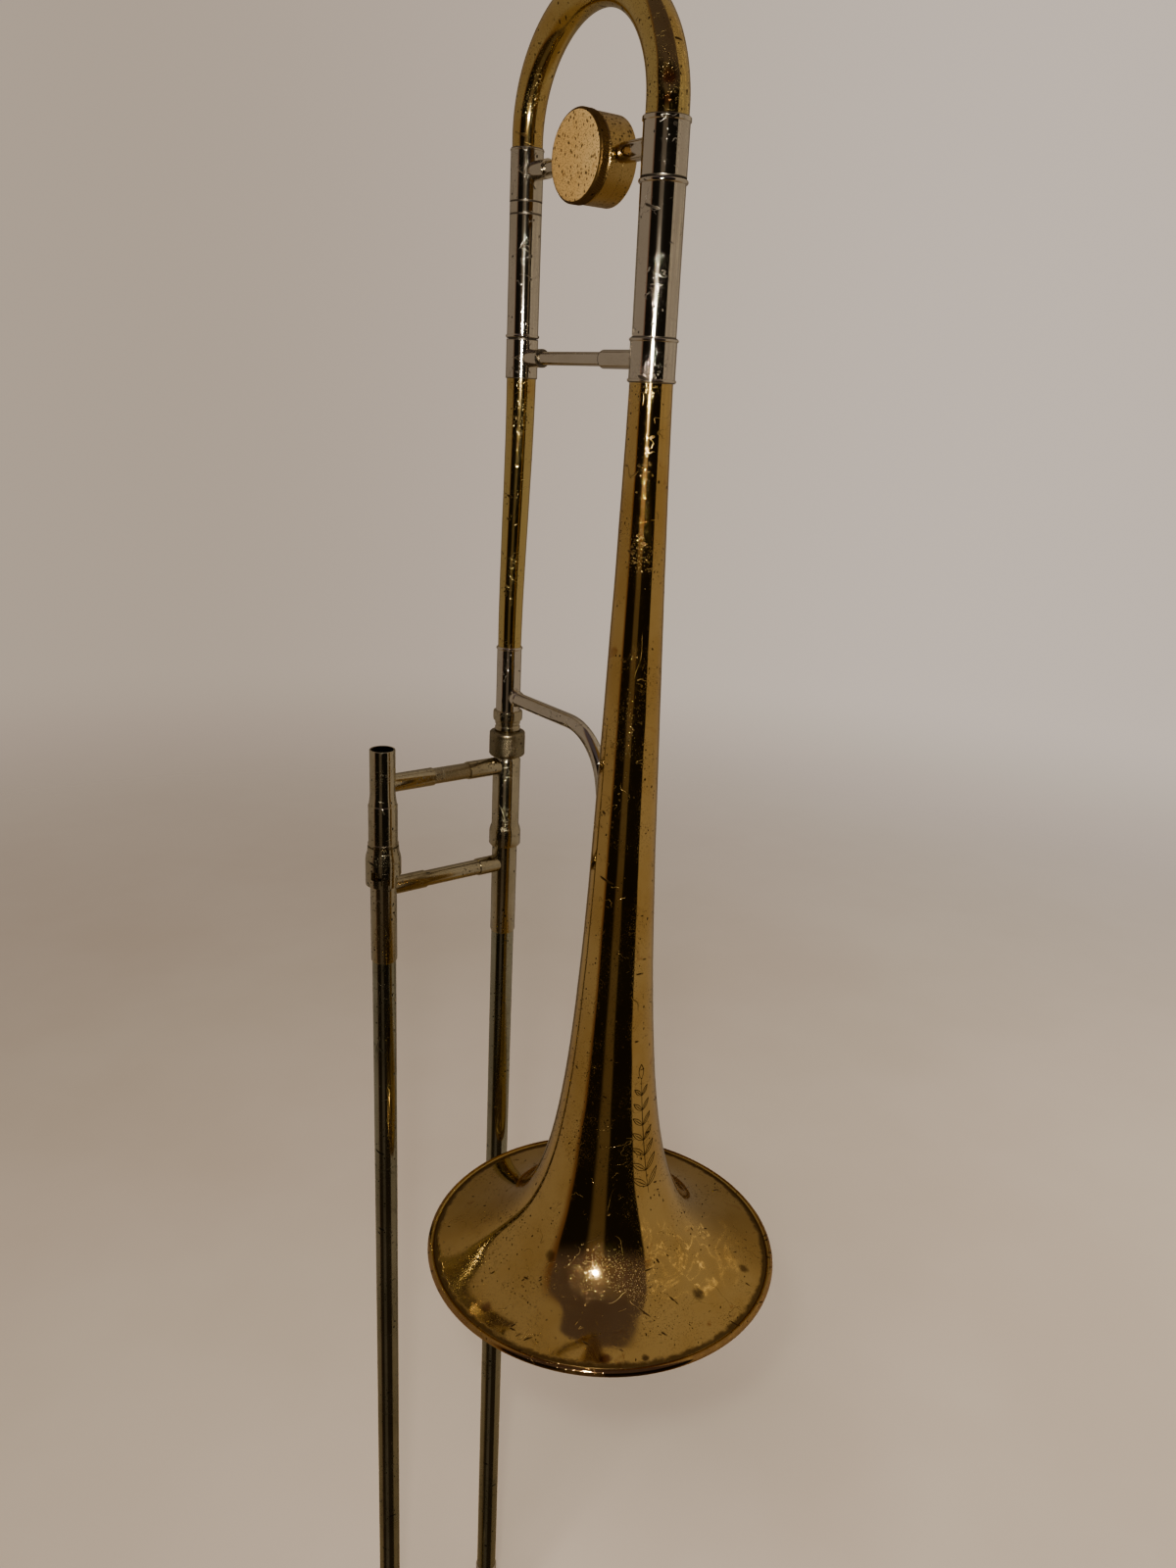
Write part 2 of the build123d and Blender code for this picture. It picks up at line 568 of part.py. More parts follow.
def make_cork_barrels():
    """Cork barrels that take the top ends of the outer slide, with their cork rings inside."""
    half_out = BARREL_OD / 2
    lip = BARREL_LIP_OD / 2
    left = turned(MOUTH_X, 0, [
        (BARREL_ID / 2, BARREL_BOTTOM_Z), (lip, BARREL_BOTTOM_Z), (lip, BARREL_BOTTOM_Z + 1.8),
        (half_out, BARREL_BOTTOM_Z + 1.8), (half_out, RING_TOP_Z + 0.6), (8.8, RING_TOP_Z + 1.0),
        (8.8, RING_TOP_Z + 2.0), (half_out, RING_TOP_Z + 2.4), (half_out, BARREL_TOP_Z - 0.5),
        (8.0, BARREL_TOP_Z), (INNER_TUBE_OD / 2, BARREL_TOP_Z), (INNER_TUBE_OD / 2, BARREL_TOP_Z - 2),
        (BARREL_ID / 2, BARREL_TOP_Z - 2)])
    write(left, "cork_barrel_mouth_side")

    shoulder = NUT_BOTTOM_Z - 0.8
    right = turned(0, 0, [
        (BARREL_ID / 2, 693.5), (9.0, 693.5), (9.6, 694.5), (9.6, 702.5), (9.2, 704.5), (RIGHT_BARREL, 707.0),
        (RIGHT_BARREL, shoulder - 2), (7.4, shoulder), (INNER_TUBE_OD / 2, shoulder),
        (INNER_TUBE_OD / 2, BARREL_TOP_Z - 2), (BARREL_ID / 2, BARREL_TOP_Z - 2)])
    write(right, "cork_barrel_bell_side")

    with BuildPart() as corks:
        with BuildSketch(Plane.XY.offset(OUTER_TOP_Z + 1)):
            with Locations((MOUTH_X, 0), (0, 0)):
                Circle(BARREL_ID / 2)
                Circle(INNER_TUBE_OD / 2, mode=Mode.SUBTRACT)
        extrude(amount=BARREL_TOP_Z - 2 - OUTER_TOP_Z - 1)
    write(corks, "barrel_corks")


def make_slide_tenon():
    """Tapered tenon that seats in the neck, with the shoulder that keeps the lock nut captive."""
    flange = NUT_BOTTOM_Z + 2.3
    bore = BORE / 2 - 0.8
    tenon = turned(0, 0, [
        (bore, BARREL_TOP_Z), (INNER_TUBE_OD / 2, BARREL_TOP_Z), (INNER_TUBE_OD / 2, flange),
        (7.35, flange), (7.35, flange + 1.6), (6.45, flange + 1.6), (5.9, COLLAR_RING_Z + 1),
        (bore, COLLAR_RING_Z + 1)])
    write(tenon, "slide_tenon")


def make_inner_brace():
    """Three-piece hand-grip brace of the inner slide; its middle rod has fine knurling lines."""
    left_socket = rod_along_x(INNER_BRACE_Z, MOUTH_X, MOUTH_X + 31.7, SLIDE_SOCKET_OD, SLIDE_ROD_OD,
                              MOUTH_X, 14.6)
    write(left_socket, "inner_brace_mouth_socket")
    right_socket = rod_along_x(INNER_BRACE_Z, -27.4, 0, SLIDE_SOCKET_OD, SLIDE_ROD_OD, 0,
                               2 * RIGHT_BARREL)
    write(right_socket, "inner_brace_bell_socket")
    rod = rod_along_x(INNER_BRACE_Z, MOUTH_X + 9, -10, SLIDE_ROD_OD, SLIDE_ROD_OD - 2)
    write(rod, "inner_brace_rod")


def make_slide_lock_ring():
    """Bayonet ring on the mouthpiece-side barrel; its L slot turns over a lug of the outer slide."""
    low = RING_BOTTOM_Z
    top = RING_TOP_Z
    step = BARREL_BOTTOM_Z + 2.0
    with BuildPart() as ring:
        with BuildSketch(side_plane(MOUTH_X, 0)):
            with BuildLine():
                Polyline((9.3, low), (10.2, low), (10.3, low + 1), (10.3, top - 8), (9.9, top - 5.5),
                         (9.2, top - 3), (9.0, top), (8.6, top), (8.6, step), (9.3, step), close=True)
            make_face()
        revolve(axis=Axis((MOUTH_X, 0, 0), (0, 0, 1)))
        for angle in range(-60, 150, 15):
            with Locations(Location((MOUTH_X, 0, RING_CUT_Z), (0, 0, angle))):
                Box(14, 6.0, 10, align=(Align.MIN, Align.CENTER, Align.MAX), mode=Mode.SUBTRACT)
        for turn in range(0, 36, 5):
            with Locations(Location((MOUTH_X, 0, LUG_Z), (0, 0, LUG_ANGLE - turn))):
                Box(14, 5.2, 5.0, align=(Align.MIN, Align.CENTER, Align.CENTER), mode=Mode.SUBTRACT)
        with Locations(Location((MOUTH_X, 0, LUG_Z + 2.5), (0, 0, LUG_ANGLE))):
            Box(14, 5.2, 12, align=(Align.MIN, Align.CENTER, Align.MAX), mode=Mode.SUBTRACT)
    write(ring, "slide_lock_ring")


# ---- lock nut -----------------------------------------------------------------------------------
def make_lock_nut():
    """Knurled nut, captive on the tenon, that draws the neck down on its taper."""
    knurls = 60
    low = NUT_BOTTOM_Z
    top = NUT_TOP_Z
    half_out = NUT_OD / 2
    with BuildPart() as nut:
        with BuildSketch(Plane.XY.offset(low)):
            Circle(half_out)
            with PolarLocations(half_out, knurls):
                Circle(0.28, mode=Mode.SUBTRACT)
        extrude(amount=top - low)
        with BuildSketch(side_plane(0, 0)):
            with BuildLine():
                Polyline((6.8, low), (half_out - 1.2, low), (half_out, low + 1.2), (half_out, top - 1.2),
                         (half_out - 1.4, top), (7.65, top), (7.65, low + 2.1), (6.8, low + 2.1), close=True)
            make_face()
        revolve(axis=Axis.Z, mode=Mode.INTERSECT)
    write(nut, "lock_nut")


# ---- outer hand slide ---------------------------------------------------------------------------
def make_outer_tubes():
    """Outer slide tubes and the nickel sleeves round their top ends."""
    for side, x in (("mouth", MOUTH_X), ("bell", 0.0)):
        outer = tube(x, 0, OUTER_TUBE_BOTTOM_Z, OUTER_TOP_Z, OUTER_TUBE_OD, OUTER_TUBE_ID)
        write(outer, f"outer_tube_{side}_side")
        sleeve = turned(x, 0, [
            (OUTER_TUBE_OD / 2, SLEEVE_BOTTOM_Z), (SLEEVE_OD / 2 - 0.4, SLEEVE_BOTTOM_Z),
            (SLEEVE_OD / 2, SLEEVE_BOTTOM_Z + 1), (SLEEVE_OD / 2, OUTER_TOP_Z),
            (OUTER_TUBE_OD / 2, OUTER_TOP_Z)])
        write(sleeve, f"outer_sleeve_{side}_side")

    with BuildPart() as lug:
        with Locations(Location((MOUTH_X, 0, LUG_Z), (0, 0, LUG_ANGLE))):
            Box(10.1, 4.0, 4.0, align=(Align.MIN, Align.CENTER, Align.CENTER))
        with Locations((MOUTH_X, 0, LUG_Z)):
            Cylinder(SLEEVE_OD / 2, 12, mode=Mode.SUBTRACT)
    write(lug, "slide_lock_lug")


def make_outer_brace():
    """Three-piece hand-grip brace of the outer slide."""
    left_socket = rod_along_x(OUTER_BRACE_Z, MOUTH_X, MOUTH_X + 26.6, SLIDE_SOCKET_OD, SLIDE_ROD_OD,
                              MOUTH_X, SLEEVE_OD)
    write(left_socket, "outer_brace_mouth_socket")
    right_socket = rod_along_x(OUTER_BRACE_Z, -19.4, 0, SLIDE_SOCKET_OD, SLIDE_ROD_OD, 0, SLEEVE_OD)
    write(right_socket, "outer_brace_bell_socket")
    rod = rod_along_x(OUTER_BRACE_Z, MOUTH_X + 9, -9, SLIDE_ROD_OD, SLIDE_ROD_OD - 2)
    write(rod, "outer_brace_rod")


def make_crook():
    """U bend at the foot of the outer slide and the two ferrules that join it to the tubes."""
    crook_plane = Plane(origin=(CROOK_X, 0, CROOK_CENTRE_Z), x_dir=(1, 0, 0), z_dir=(0, -1, 0))
    leg = OUTER_TUBE_BOTTOM_Z + 3 - CROOK_CENTRE_Z
    with BuildPart() as crook:
        with BuildLine(crook_plane):
            Line((-CROOK_RADIUS, leg), (-CROOK_RADIUS, 0))
            CenterArc((0, 0), CROOK_RADIUS, 180, 180)
            Line((CROOK_RADIUS, 0), (CROOK_RADIUS, leg))
        with BuildSketch(Plane((MOUTH_X, 0, CROOK_CENTRE_Z + leg))):
            Circle(CROOK_OD / 2)
            Circle(CROOK_ID / 2, mode=Mode.SUBTRACT)
        sweep()
        with BuildSketch(Plane(origin=(KEY_X, 0, KEY_CENTRE_Z), x_dir=(1, 0, 0), z_dir=NIPPLE_DIRECTION)):
            Circle(NIPPLE_BORE_RADIUS)
        extrude(amount=9, mode=Mode.SUBTRACT)
    write(crook, "slide_crook")

    for side, x in (("mouth", MOUTH_X), ("bell", 0.0)):
        ferrule = turned(x, 0, [
            (CROOK_OD / 2, CROOK_CENTRE_Z + 3), (CROOK_FERRULE_OD / 2 - 0.5, CROOK_CENTRE_Z + 3),
            (CROOK_FERRULE_OD / 2, CROOK_CENTRE_Z + 4), (CROOK_FERRULE_OD / 2, CROOK_LEG_TOP_Z + 5),
            (CROOK_FERRULE_OD / 2 - 0.5, CROOK_LEG_TOP_Z + 6), (OUTER_TUBE_OD / 2, CROOK_LEG_TOP_Z + 6),
            (OUTER_TUBE_OD / 2, OUTER_TUBE_BOTTOM_Z), (CROOK_OD / 2, OUTER_TUBE_BOTTOM_Z)])
        write(ferrule, f"crook_ferrule_{side}_side")


def make_crook_guard():
    """Guard plate under the bend with the cup that holds the rubber bumper."""
    with BuildPart() as guard:
        with BuildSketch(Plane(origin=(CROOK_X, 0, CROOK_CENTRE_Z - CROOK_RADIUS), x_dir=(0, 1, 0),
                               z_dir=(1, 0, 0))):
            Circle(GUARD_OUT)
            Circle(GUARD_IN, mode=Mode.SUBTRACT)
            with Locations((0, -4.4)):
                Rectangle(40, 40, align=(Align.CENTER, Align.MIN), mode=Mode.SUBTRACT)
        revolve(axis=Axis((CROOK_X, 0, CROOK_CENTRE_Z), (0, 1, 0)), revolution_arc=55)
        mirror(about=Plane(origin=(CROOK_X, 0, 0), z_dir=(1, 0, 0)))
        with Locations((CROOK_X, 0, 4.5)):
            Cylinder(6.6, 8, align=(Align.CENTER, Align.CENTER, Align.MIN))
            Cylinder(5.4, 4.5, align=(Align.CENTER, Align.CENTER, Align.MIN), mode=Mode.SUBTRACT)
        with Locations(Location((CROOK_X, 0, CROOK_CENTRE_Z), (90, 0, 0))):
            Torus(CROOK_RADIUS, GUARD_IN, mode=Mode.SUBTRACT)
        with BuildSketch(nipple_plane(0)):
            Circle(3.3)
        extrude(amount=12, mode=Mode.SUBTRACT)
    write(guard, "crook_guard")

    with BuildPart() as bumper:
        with Locations((CROOK_X, 0, 0)):
            Cylinder(5.4, 9.0, align=(Align.CENTER, Align.CENTER, Align.MIN))
        fillet(bumper.edges().group_by(Axis.Z)[0], 1.6)
    write(bumper, "rubber_bumper")


# ---- water key ----------------------------------------------------------------------------------
def nipple_plane(distance):
    """Plane square to the nipple at a distance from the crook's axis."""
    return Plane(origin=(KEY_X, -0.8 * distance, KEY_CENTRE_Z - 0.6 * distance), x_dir=(1, 0, 0),
                 z_dir=NIPPLE_DIRECTION)


def cut_crook():
    """Take the crook's own space out of the part being built."""
    with Locations(Location((CROOK_X, 0, CROOK_CENTRE_Z), (90, 0, 0))):
        Torus(CROOK_RADIUS, CROOK_OD / 2, mode=Mode.SUBTRACT)


def make_water_key():
    """Nipple, saddle, pin, lever, cork and spring of the drain valve."""
    with BuildPart() as nipple:
        with BuildSketch(nipple_plane(4.5)):
            Circle(3.2)
        extrude(amount=5.0)
        cut_crook()
        with BuildSketch(nipple_plane(0)):
            Circle(NIPPLE_BORE_RADIUS)
        extrude(amount=12, mode=Mode.SUBTRACT)
    write(nipple, "water_key_nipple")

    with BuildPart() as saddle:
        for offset in (-4.2, 4.2):
            with Locations((KEY_X + offset, 0, 0)):
                with Locations((0, PIVOT_Y, PIVOT_Z)):
                    Box(1.8, 5.6, 5.6)
                with Locations((0, (PIVOT_Y - 2) / 2, PIVOT_Z - 2)):
                    Box(1.8, -PIVOT_Y - 2, 6.0)
        cut_crook()
        with Locations(Location((KEY_X, PIVOT_Y, PIVOT_Z), (0, 90, 0))):
            Cylinder(PIN_RADIUS, 20, mode=Mode.SUBTRACT)
        with Locations((KEY_X, 0, PIVOT_Z)):
            Box(30, 9.0, 30, mode=Mode.SUBTRACT)
    write(saddle, "water_key_saddle")

    with BuildPart() as pin:
        with Locations(Location((KEY_X + 1.5, PIVOT_Y, PIVOT_Z), (0, 90, 0))):
            Cylinder(PIN_RADIUS, 14.2)
        with Locations(Location((KEY_X - 5.6, PIVOT_Y, PIVOT_Z), (0, 90, 0))):
            Cylinder(2.0, 1.0)
    write(pin, "water_key_pin")


def make_water_key_lever():
    """Rocking lever: cork cup below, barrel on the pin, finger tab between the slide tubes."""
    lever_plane = Plane(origin=(KEY_X, 0, 0), x_dir=(0, 1, 0), z_dir=(1, 0, 0))
    cup_back = (-0.8 * (NIPPLE_REACH + 3.2), KEY_CENTRE_Z - 0.6 * (NIPPLE_REACH + 3.2))
    with BuildPart() as lever:
        with BuildSketch(lever_plane):
            with BuildLine():
                Spline(cup_back, (PIVOT_Y - 1.0, PIVOT_Z - 9), (PIVOT_Y, PIVOT_Z),
                       (PIVOT_Y - 0.5, PIVOT_Z + 30), (PIVOT_Y - 1.0, LEVER_TIP_Z - 14),
                       (PIVOT_Y - 4.0, LEVER_TIP_Z))
            trace(line_width=1.6)
        extrude(amount=2.4, both=True)
        with BuildSketch(lever_plane):
            with BuildLine():
                Spline((PIVOT_Y - 0.9, LEVER_TIP_Z - 17), (PIVOT_Y - 1.0, LEVER_TIP_Z - 14),
                       (PIVOT_Y - 4.0, LEVER_TIP_Z))
            trace(line_width=1.6)
        extrude(amount=4.6, both=True)
        with Locations(Location((KEY_X, PIVOT_Y, PIVOT_Z), (0, 90, 0))):
            Cylinder(2.3, 6.2)
        with BuildSketch(nipple_plane(NIPPLE_REACH + 1.0)):
            Circle(3.8)
        extrude(amount=2.8)
        with BuildSketch(nipple_plane(NIPPLE_REACH)):
            Circle(3.1)
        extrude(amount=2.8, mode=Mode.SUBTRACT)
        with Locations(Location((KEY_X, PIVOT_Y, PIVOT_Z), (0, 90, 0))):
            Cylinder(PIN_RADIUS + 0.05, 20, mode=Mode.SUBTRACT)
    write(lever, "water_key_lever")

    with BuildPart() as cork:
        with BuildSketch(nipple_plane(NIPPLE_REACH + 0.02)):
            Circle(3.1)
        extrude(amount=2.78)
    write(cork, "water_key_cork")


def make_water_key_spring():
    """Torsion spring on the pin beside the saddle, with one leg behind the lever."""
    wire = 0.25
    coil_radius = 2.3
    coil_start = KEY_X + 5.5
    coil_length = 2.7
    with BuildPart() as spring:
        with BuildLine():
            coil = Helix(0.9, coil_length, coil_radius, center=(coil_start, PIVOT_Y, PIVOT_Z),
                         direction=(1, 0, 0))
        with BuildSketch(Plane(origin=coil @ 0, z_dir=coil % 0)):
            Circle(wire)
        sweep(path=coil, is_frenet=True)
        with Locations(Location((coil_start + coil_length + 0.2, PIVOT_Y + coil_radius, PIVOT_Z))):
            Cylinder(wire, 4.0, align=(Align.CENTER, Align.CENTER, Align.MIN))
        with Locations(Location((KEY_X + 3.5, PIVOT_Y + coil_radius, PIVOT_Z + 4.0), (0, 90, 0))):
            Cylinder(wire, 10.0)
    write(spring, "water_key_spring")


for make in (make_bell, make_bell_section_tubes, make_gooseneck, make_neck_receiver, make_bell_braces,
             make_curved_stay, make_tuning_bow, make_tuning_legs, make_tuning_brace, make_counterweight,
             make_mouthpiece_receiver, make_inner_tubes, make_cork_barrels, make_slide_tenon,
             make_inner_brace, make_slide_lock_ring, make_lock_nut, make_outer_tubes, make_outer_brace,
             make_crook, make_crook_guard, make_water_key, make_water_key_lever, make_water_key_spring):
    make()
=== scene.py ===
"""Looks of the slide trombone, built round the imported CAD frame.  Metres, +Z up, bell on the -Y side.

The sheet-brass pieces and the long tubes are rebuilt as fine smooth meshes with the dents and waves of an
old instrument, and the knurled pieces with their knurl.  Every other visible piece is a refined copy of its
CAD node: rounded edges, smooth shading and a procedural metal, cork or rubber material.
"""
import json
from math import cos, exp, hypot, pi, radians, sin

import bmesh
import bpy
from mathutils import Matrix, Vector, noise


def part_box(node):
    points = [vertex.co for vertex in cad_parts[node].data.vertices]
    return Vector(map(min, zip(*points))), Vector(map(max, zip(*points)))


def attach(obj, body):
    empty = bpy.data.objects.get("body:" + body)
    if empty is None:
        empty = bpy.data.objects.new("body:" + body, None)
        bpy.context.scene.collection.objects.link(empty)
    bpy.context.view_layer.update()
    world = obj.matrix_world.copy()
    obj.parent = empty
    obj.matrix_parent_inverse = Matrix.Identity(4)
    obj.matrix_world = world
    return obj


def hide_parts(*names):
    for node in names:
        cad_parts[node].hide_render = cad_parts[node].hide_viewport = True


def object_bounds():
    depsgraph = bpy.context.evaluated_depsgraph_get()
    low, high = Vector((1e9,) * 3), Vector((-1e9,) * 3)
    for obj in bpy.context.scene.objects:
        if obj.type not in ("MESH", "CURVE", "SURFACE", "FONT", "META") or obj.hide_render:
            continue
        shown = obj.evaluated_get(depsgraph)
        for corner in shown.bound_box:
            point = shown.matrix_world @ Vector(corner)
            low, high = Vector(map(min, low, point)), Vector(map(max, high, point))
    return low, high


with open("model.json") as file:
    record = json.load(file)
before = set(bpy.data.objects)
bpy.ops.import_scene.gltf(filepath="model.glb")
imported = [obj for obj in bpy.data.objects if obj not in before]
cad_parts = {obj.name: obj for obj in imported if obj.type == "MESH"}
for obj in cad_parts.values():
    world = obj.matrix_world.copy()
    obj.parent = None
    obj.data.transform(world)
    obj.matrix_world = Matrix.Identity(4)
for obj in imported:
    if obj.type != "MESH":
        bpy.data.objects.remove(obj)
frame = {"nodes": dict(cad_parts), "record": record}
cad_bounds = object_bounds()
MM = 0.001

# ---- places taken from the frame ----------------------------------------------------------------
bell_low, bell_rim_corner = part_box("bell_flare")
BELL_X = (bell_low.x + bell_rim_corner.x) / 2
BELL_Y = (bell_low.y + bell_rim_corner.y) / 2
bow_low, bow_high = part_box("tuning_bow")
neck_low, neck_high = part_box("neck_receiver")
NECK_X = (neck_low.x + neck_high.x) / 2
NECK_Y = BELL_Y + 118.0 * MM
leg_low, leg_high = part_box("neck_tuning_leg")
LEG_Y = (leg_low.y + leg_high.y) / 2
BELL_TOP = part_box("bell_tail")[1].z


# ---- mesh helpers -------------------------------------------------------------------------------
def piece(name, points, faces, body, material, replaced=(), smooth_angle=40.0):
    """Mesh object from points in metres, riding on a body, standing for CAD nodes."""
    mesh = bpy.data.meshes.new(name)
    mesh.from_pydata([tuple(p) for p in points], [], faces)
    mesh.polygons.foreach_set("use_smooth", [True] * len(mesh.polygons))
    mesh.set_sharp_from_angle(angle=radians(smooth_angle))
    mesh.update()
    made = bpy.data.objects.new(name, mesh)
    bpy.context.scene.collection.objects.link(made)
    made.data.materials.append(material)
    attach(made, body)
    if replaced:
        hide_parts(*replaced)
    return made


def grid_faces(rows, columns, wrap_rows):
    """Quads of a grid of rows by columns, closed round the columns."""
    faces = []
    for row in range(rows if wrap_rows else rows - 1):
        upper = (row + 1) % rows
        for column in range(columns):
            beside = (column + 1) % columns
            faces.append((row * columns + column, row * columns + beside,
                          upper * columns + beside, upper * columns + column))
    return faces


def rounded(outline, radius, steps=3):
    """Closed (radius, height) outline in mm with each corner rounded and a support point beside it."""
    result = []
    count = len(outline)
    for index, corner in enumerate(outline):
        here = Vector(corner)
        before = Vector(outline[index - 1]) - here
        after = Vector(outline[(index + 1) % count]) - here
        cut = min(radius, 0.3 * before.length, 0.3 * after.length)
        start = here + before.normalized() * cut
        end = here + after.normalized() * cut
        result.append(start + before.normalized() * cut * 0.4)
        for step in range(steps + 1):
            part = step / steps
            point = start.lerp(here, part).lerp(here.lerp(end, part), part)
            result.append(point)
        result.append(end + after.normalized() * cut * 0.4)
    return result


def lathe_points(outline, x, y, segments):
    """Rows of points round an upright axis from (radius, height) pairs in mm."""
    points = []
    for radius, height in outline:
        for step in range(segments):
            angle = 2 * pi * step / segments
            points.append((x + radius * MM * cos(angle), y + radius * MM * sin(angle), height * MM))
    return points


def lathe(name, outline, x, y, body, material, replaced, segments=72):
    """Turned piece with rounded corners."""
    profile = rounded(outline, 0.35)
    points = lathe_points(profile, x, y, segments)
    return piece(name, points, grid_faces(len(profile), segments, True), body, material, replaced)


def swept_tube(name, centres, radii, wall, body, material, replaced, segments=64, wave=None):
    """Open tube along centre points in an upright plane across X, with its inside and end lips."""
    count = len(centres)
    rows = []
    for shell in (0.0, wall):
        order = range(count) if shell == 0.0 else range(count - 1, -1, -1)
        for index in order:
            here = Vector(centres[index])
            ahead = Vector(centres[min(index + 1, count - 1)]) - Vector(centres[max(index - 1, 0)])
            tangent = ahead.normalized()
            across = Vector((1.0, 0.0, 0.0))
            other = tangent.cross(across).normalized()
            for step in range(segments):
                angle = 2 * pi * step / segments
                direction = across * cos(angle) + other * sin(angle)
                point = here + direction * (radii[index] - shell)
                if wave:
                    point -= direction * wave(point)
                rows.append(point)
    return piece(name, rows, grid_faces(2 * count, segments, True), body, material, replaced)


# ---- material helpers ---------------------------------------------------------------------------
class Shader:
    """A node material built one node at a time."""

    def __init__(self, name):
        self.material = bpy.data.materials.new(name)
        self.material.use_nodes = True
        self.tree = self.material.node_tree
        self.surface = self.tree.nodes["Principled BSDF"]
        self.place = self.node("ShaderNodeTexCoord").outputs["Object"]

    def node(self, kind, **settings):
        made = self.tree.nodes.new(kind)
        for key, value in settings.items():
            setattr(made, key, value)
        return made

    def link(self, source, target):
        self.tree.links.new(source, target)

    def dot(self, direction, vector):
        made = self.node("ShaderNodeVectorMath", operation="DOT_PRODUCT")
        made.inputs[1].default_value = direction
        self.link(vector, made.inputs[0])
        return made.outputs["Value"]

    def stretched(self, scale):
        mapping = self.node("ShaderNodeMapping")
        mapping.inputs["Scale"].default_value = scale
        self.link(self.place, mapping.inputs["Vector"])
        return mapping.outputs["Vector"]

    def slanted(self, turn, stretch):
        """Coordinates turned by three angles and then stretched."""
        made = self.node("ShaderNodeMapping", vector_type="TEXTURE")
        made.inputs["Rotation"].default_value = turn
        made.inputs["Scale"].default_value = [1 / value for value in stretch]
        self.link(self.place, made.inputs["Vector"])
        return made.outputs[0]

    def noise(self, scale, detail=4.0, roughness=0.55, vector=None, distortion=0.0):
        made = self.node("ShaderNodeTexNoise")
        made.inputs["Scale"].default_value = scale
        made.inputs["Detail"].default_value = detail
        made.inputs["Roughness"].default_value = roughness
        made.inputs["Distortion"].default_value = distortion
        self.link(vector or self.place, made.inputs["Vector"])
        return made.outputs["Fac"]

    def cells(self, scale, vector=None, feature="F1"):
        made = self.node("ShaderNodeTexVoronoi", feature=feature)
        made.inputs["Scale"].default_value = scale
        self.link(vector or self.place, made.inputs["Vector"])
        return made.outputs["Distance"]

    def ramp(self, source, low, high, start=0.0, end=1.0):
        made = self.node("ShaderNodeMapRange", interpolation_type="SMOOTHSTEP")
        self.link(source, made.inputs["Value"])
        made.inputs["From Min"].default_value = low
        made.inputs["From Max"].default_value = high
        made.inputs["To Min"].default_value = start
        made.inputs["To Max"].default_value = end
        return made.outputs["Result"]

    def math(self, operation, first, second):
        made = self.node("ShaderNodeMath", operation=operation)
        for index, value in enumerate((first, second)):
            if isinstance(value, (int, float)):
                made.inputs[index].default_value = value
            else:
                self.link(value, made.inputs[index])
        return made.outputs[0]

    def blend(self, amount, first, second):
        made = self.node("ShaderNodeMix", data_type="RGBA")
        self.link(amount, made.inputs["Factor"])
        for socket, value in ((made.inputs[6], first), (made.inputs[7], second)):
            if isinstance(value, tuple):
                socket.default_value = (*value, 1.0)
            else:
                self.link(value, socket)
        return made.outputs[2]

    def bump(self, height, strength, distance, below=None):
        made = self.node("ShaderNodeBump")
        made.inputs["Strength"].default_value = strength
        made.inputs["Distance"].default_value = distance
        self.link(height, made.inputs["Height"])
        if below is not None:
            self.link(below, made.inputs["Normal"])
        return made.outputs["Normal"]

    def diagonal_lines(self, per_metre):
        """Fine slanting lines, such as a diamond knurl's on a round rod."""
        made = self.node("ShaderNodeTexWave", wave_type="BANDS", bands_direction="DIAGONAL")
        made.inputs["Scale"].default_value = per_metre
        self.link(self.place, made.inputs["Vector"])
        return made.outputs["Fac"]

    def finish(self, colour, roughness, normal=None, metallic=1.0):
        self.surface.inputs["Metallic"].default_value = metallic
        if isinstance(colour, tuple):
            self.surface.inputs["Base Color"].default_value = (*colour, 1.0)
        else:
            self.link(colour, self.surface.inputs["Base Color"])
        self.link(roughness, self.surface.inputs["Roughness"])
        if normal is not None:
            self.link(normal, self.surface.inputs["Normal"])
        return self.material


# ---- shape of the bell --------------------------------------------------------------------------
RIM_RADIUS = 101.6
STEM_RADIUS = 10.5
FLARE_POWER = 0.55
FLARE_SHIFT = 10.5
BELL_WALL = 0.6
BEAD_RADIUS = 2.1
RIM_Z = (bell_low.z / MM) + BEAD_RADIUS + 0.6


def flare_radius(distance):
    """Outer radius in mm at a distance above the rim: a flare that eases into the straight stem."""
    flare = RIM_RADIUS * (FLARE_SHIFT / (distance + FLARE_SHIFT)) ** FLARE_POWER
    length = BELL_TOP / MM - RIM_Z
    if distance <= 280:
        return flare
    start = RIM_RADIUS * (FLARE_SHIFT / (280 + FLARE_SHIFT)) ** FLARE_POWER
    part = min(1.0, (distance - 280) / (length - 289))
    return start + (STEM_RADIUS - start) * (1.11 * part + 0.254 * part ** 2 - 0.364 * part ** 3)


def dent_depth(angle, height, dents):
    """Depth in mm pushed in at a point of the bell by a list of (angle, height, width, depth)."""
    depth = 0.0
    for dent_angle, dent_height, width, deepest in dents:
        turn = (angle - dent_angle + pi) % (2 * pi) - pi
        along = flare_radius(max(0.0, height - RIM_Z)) * turn
        depth += deepest * exp(-(along * along + (height - dent_height) ** 2) / (width * width))
    return depth


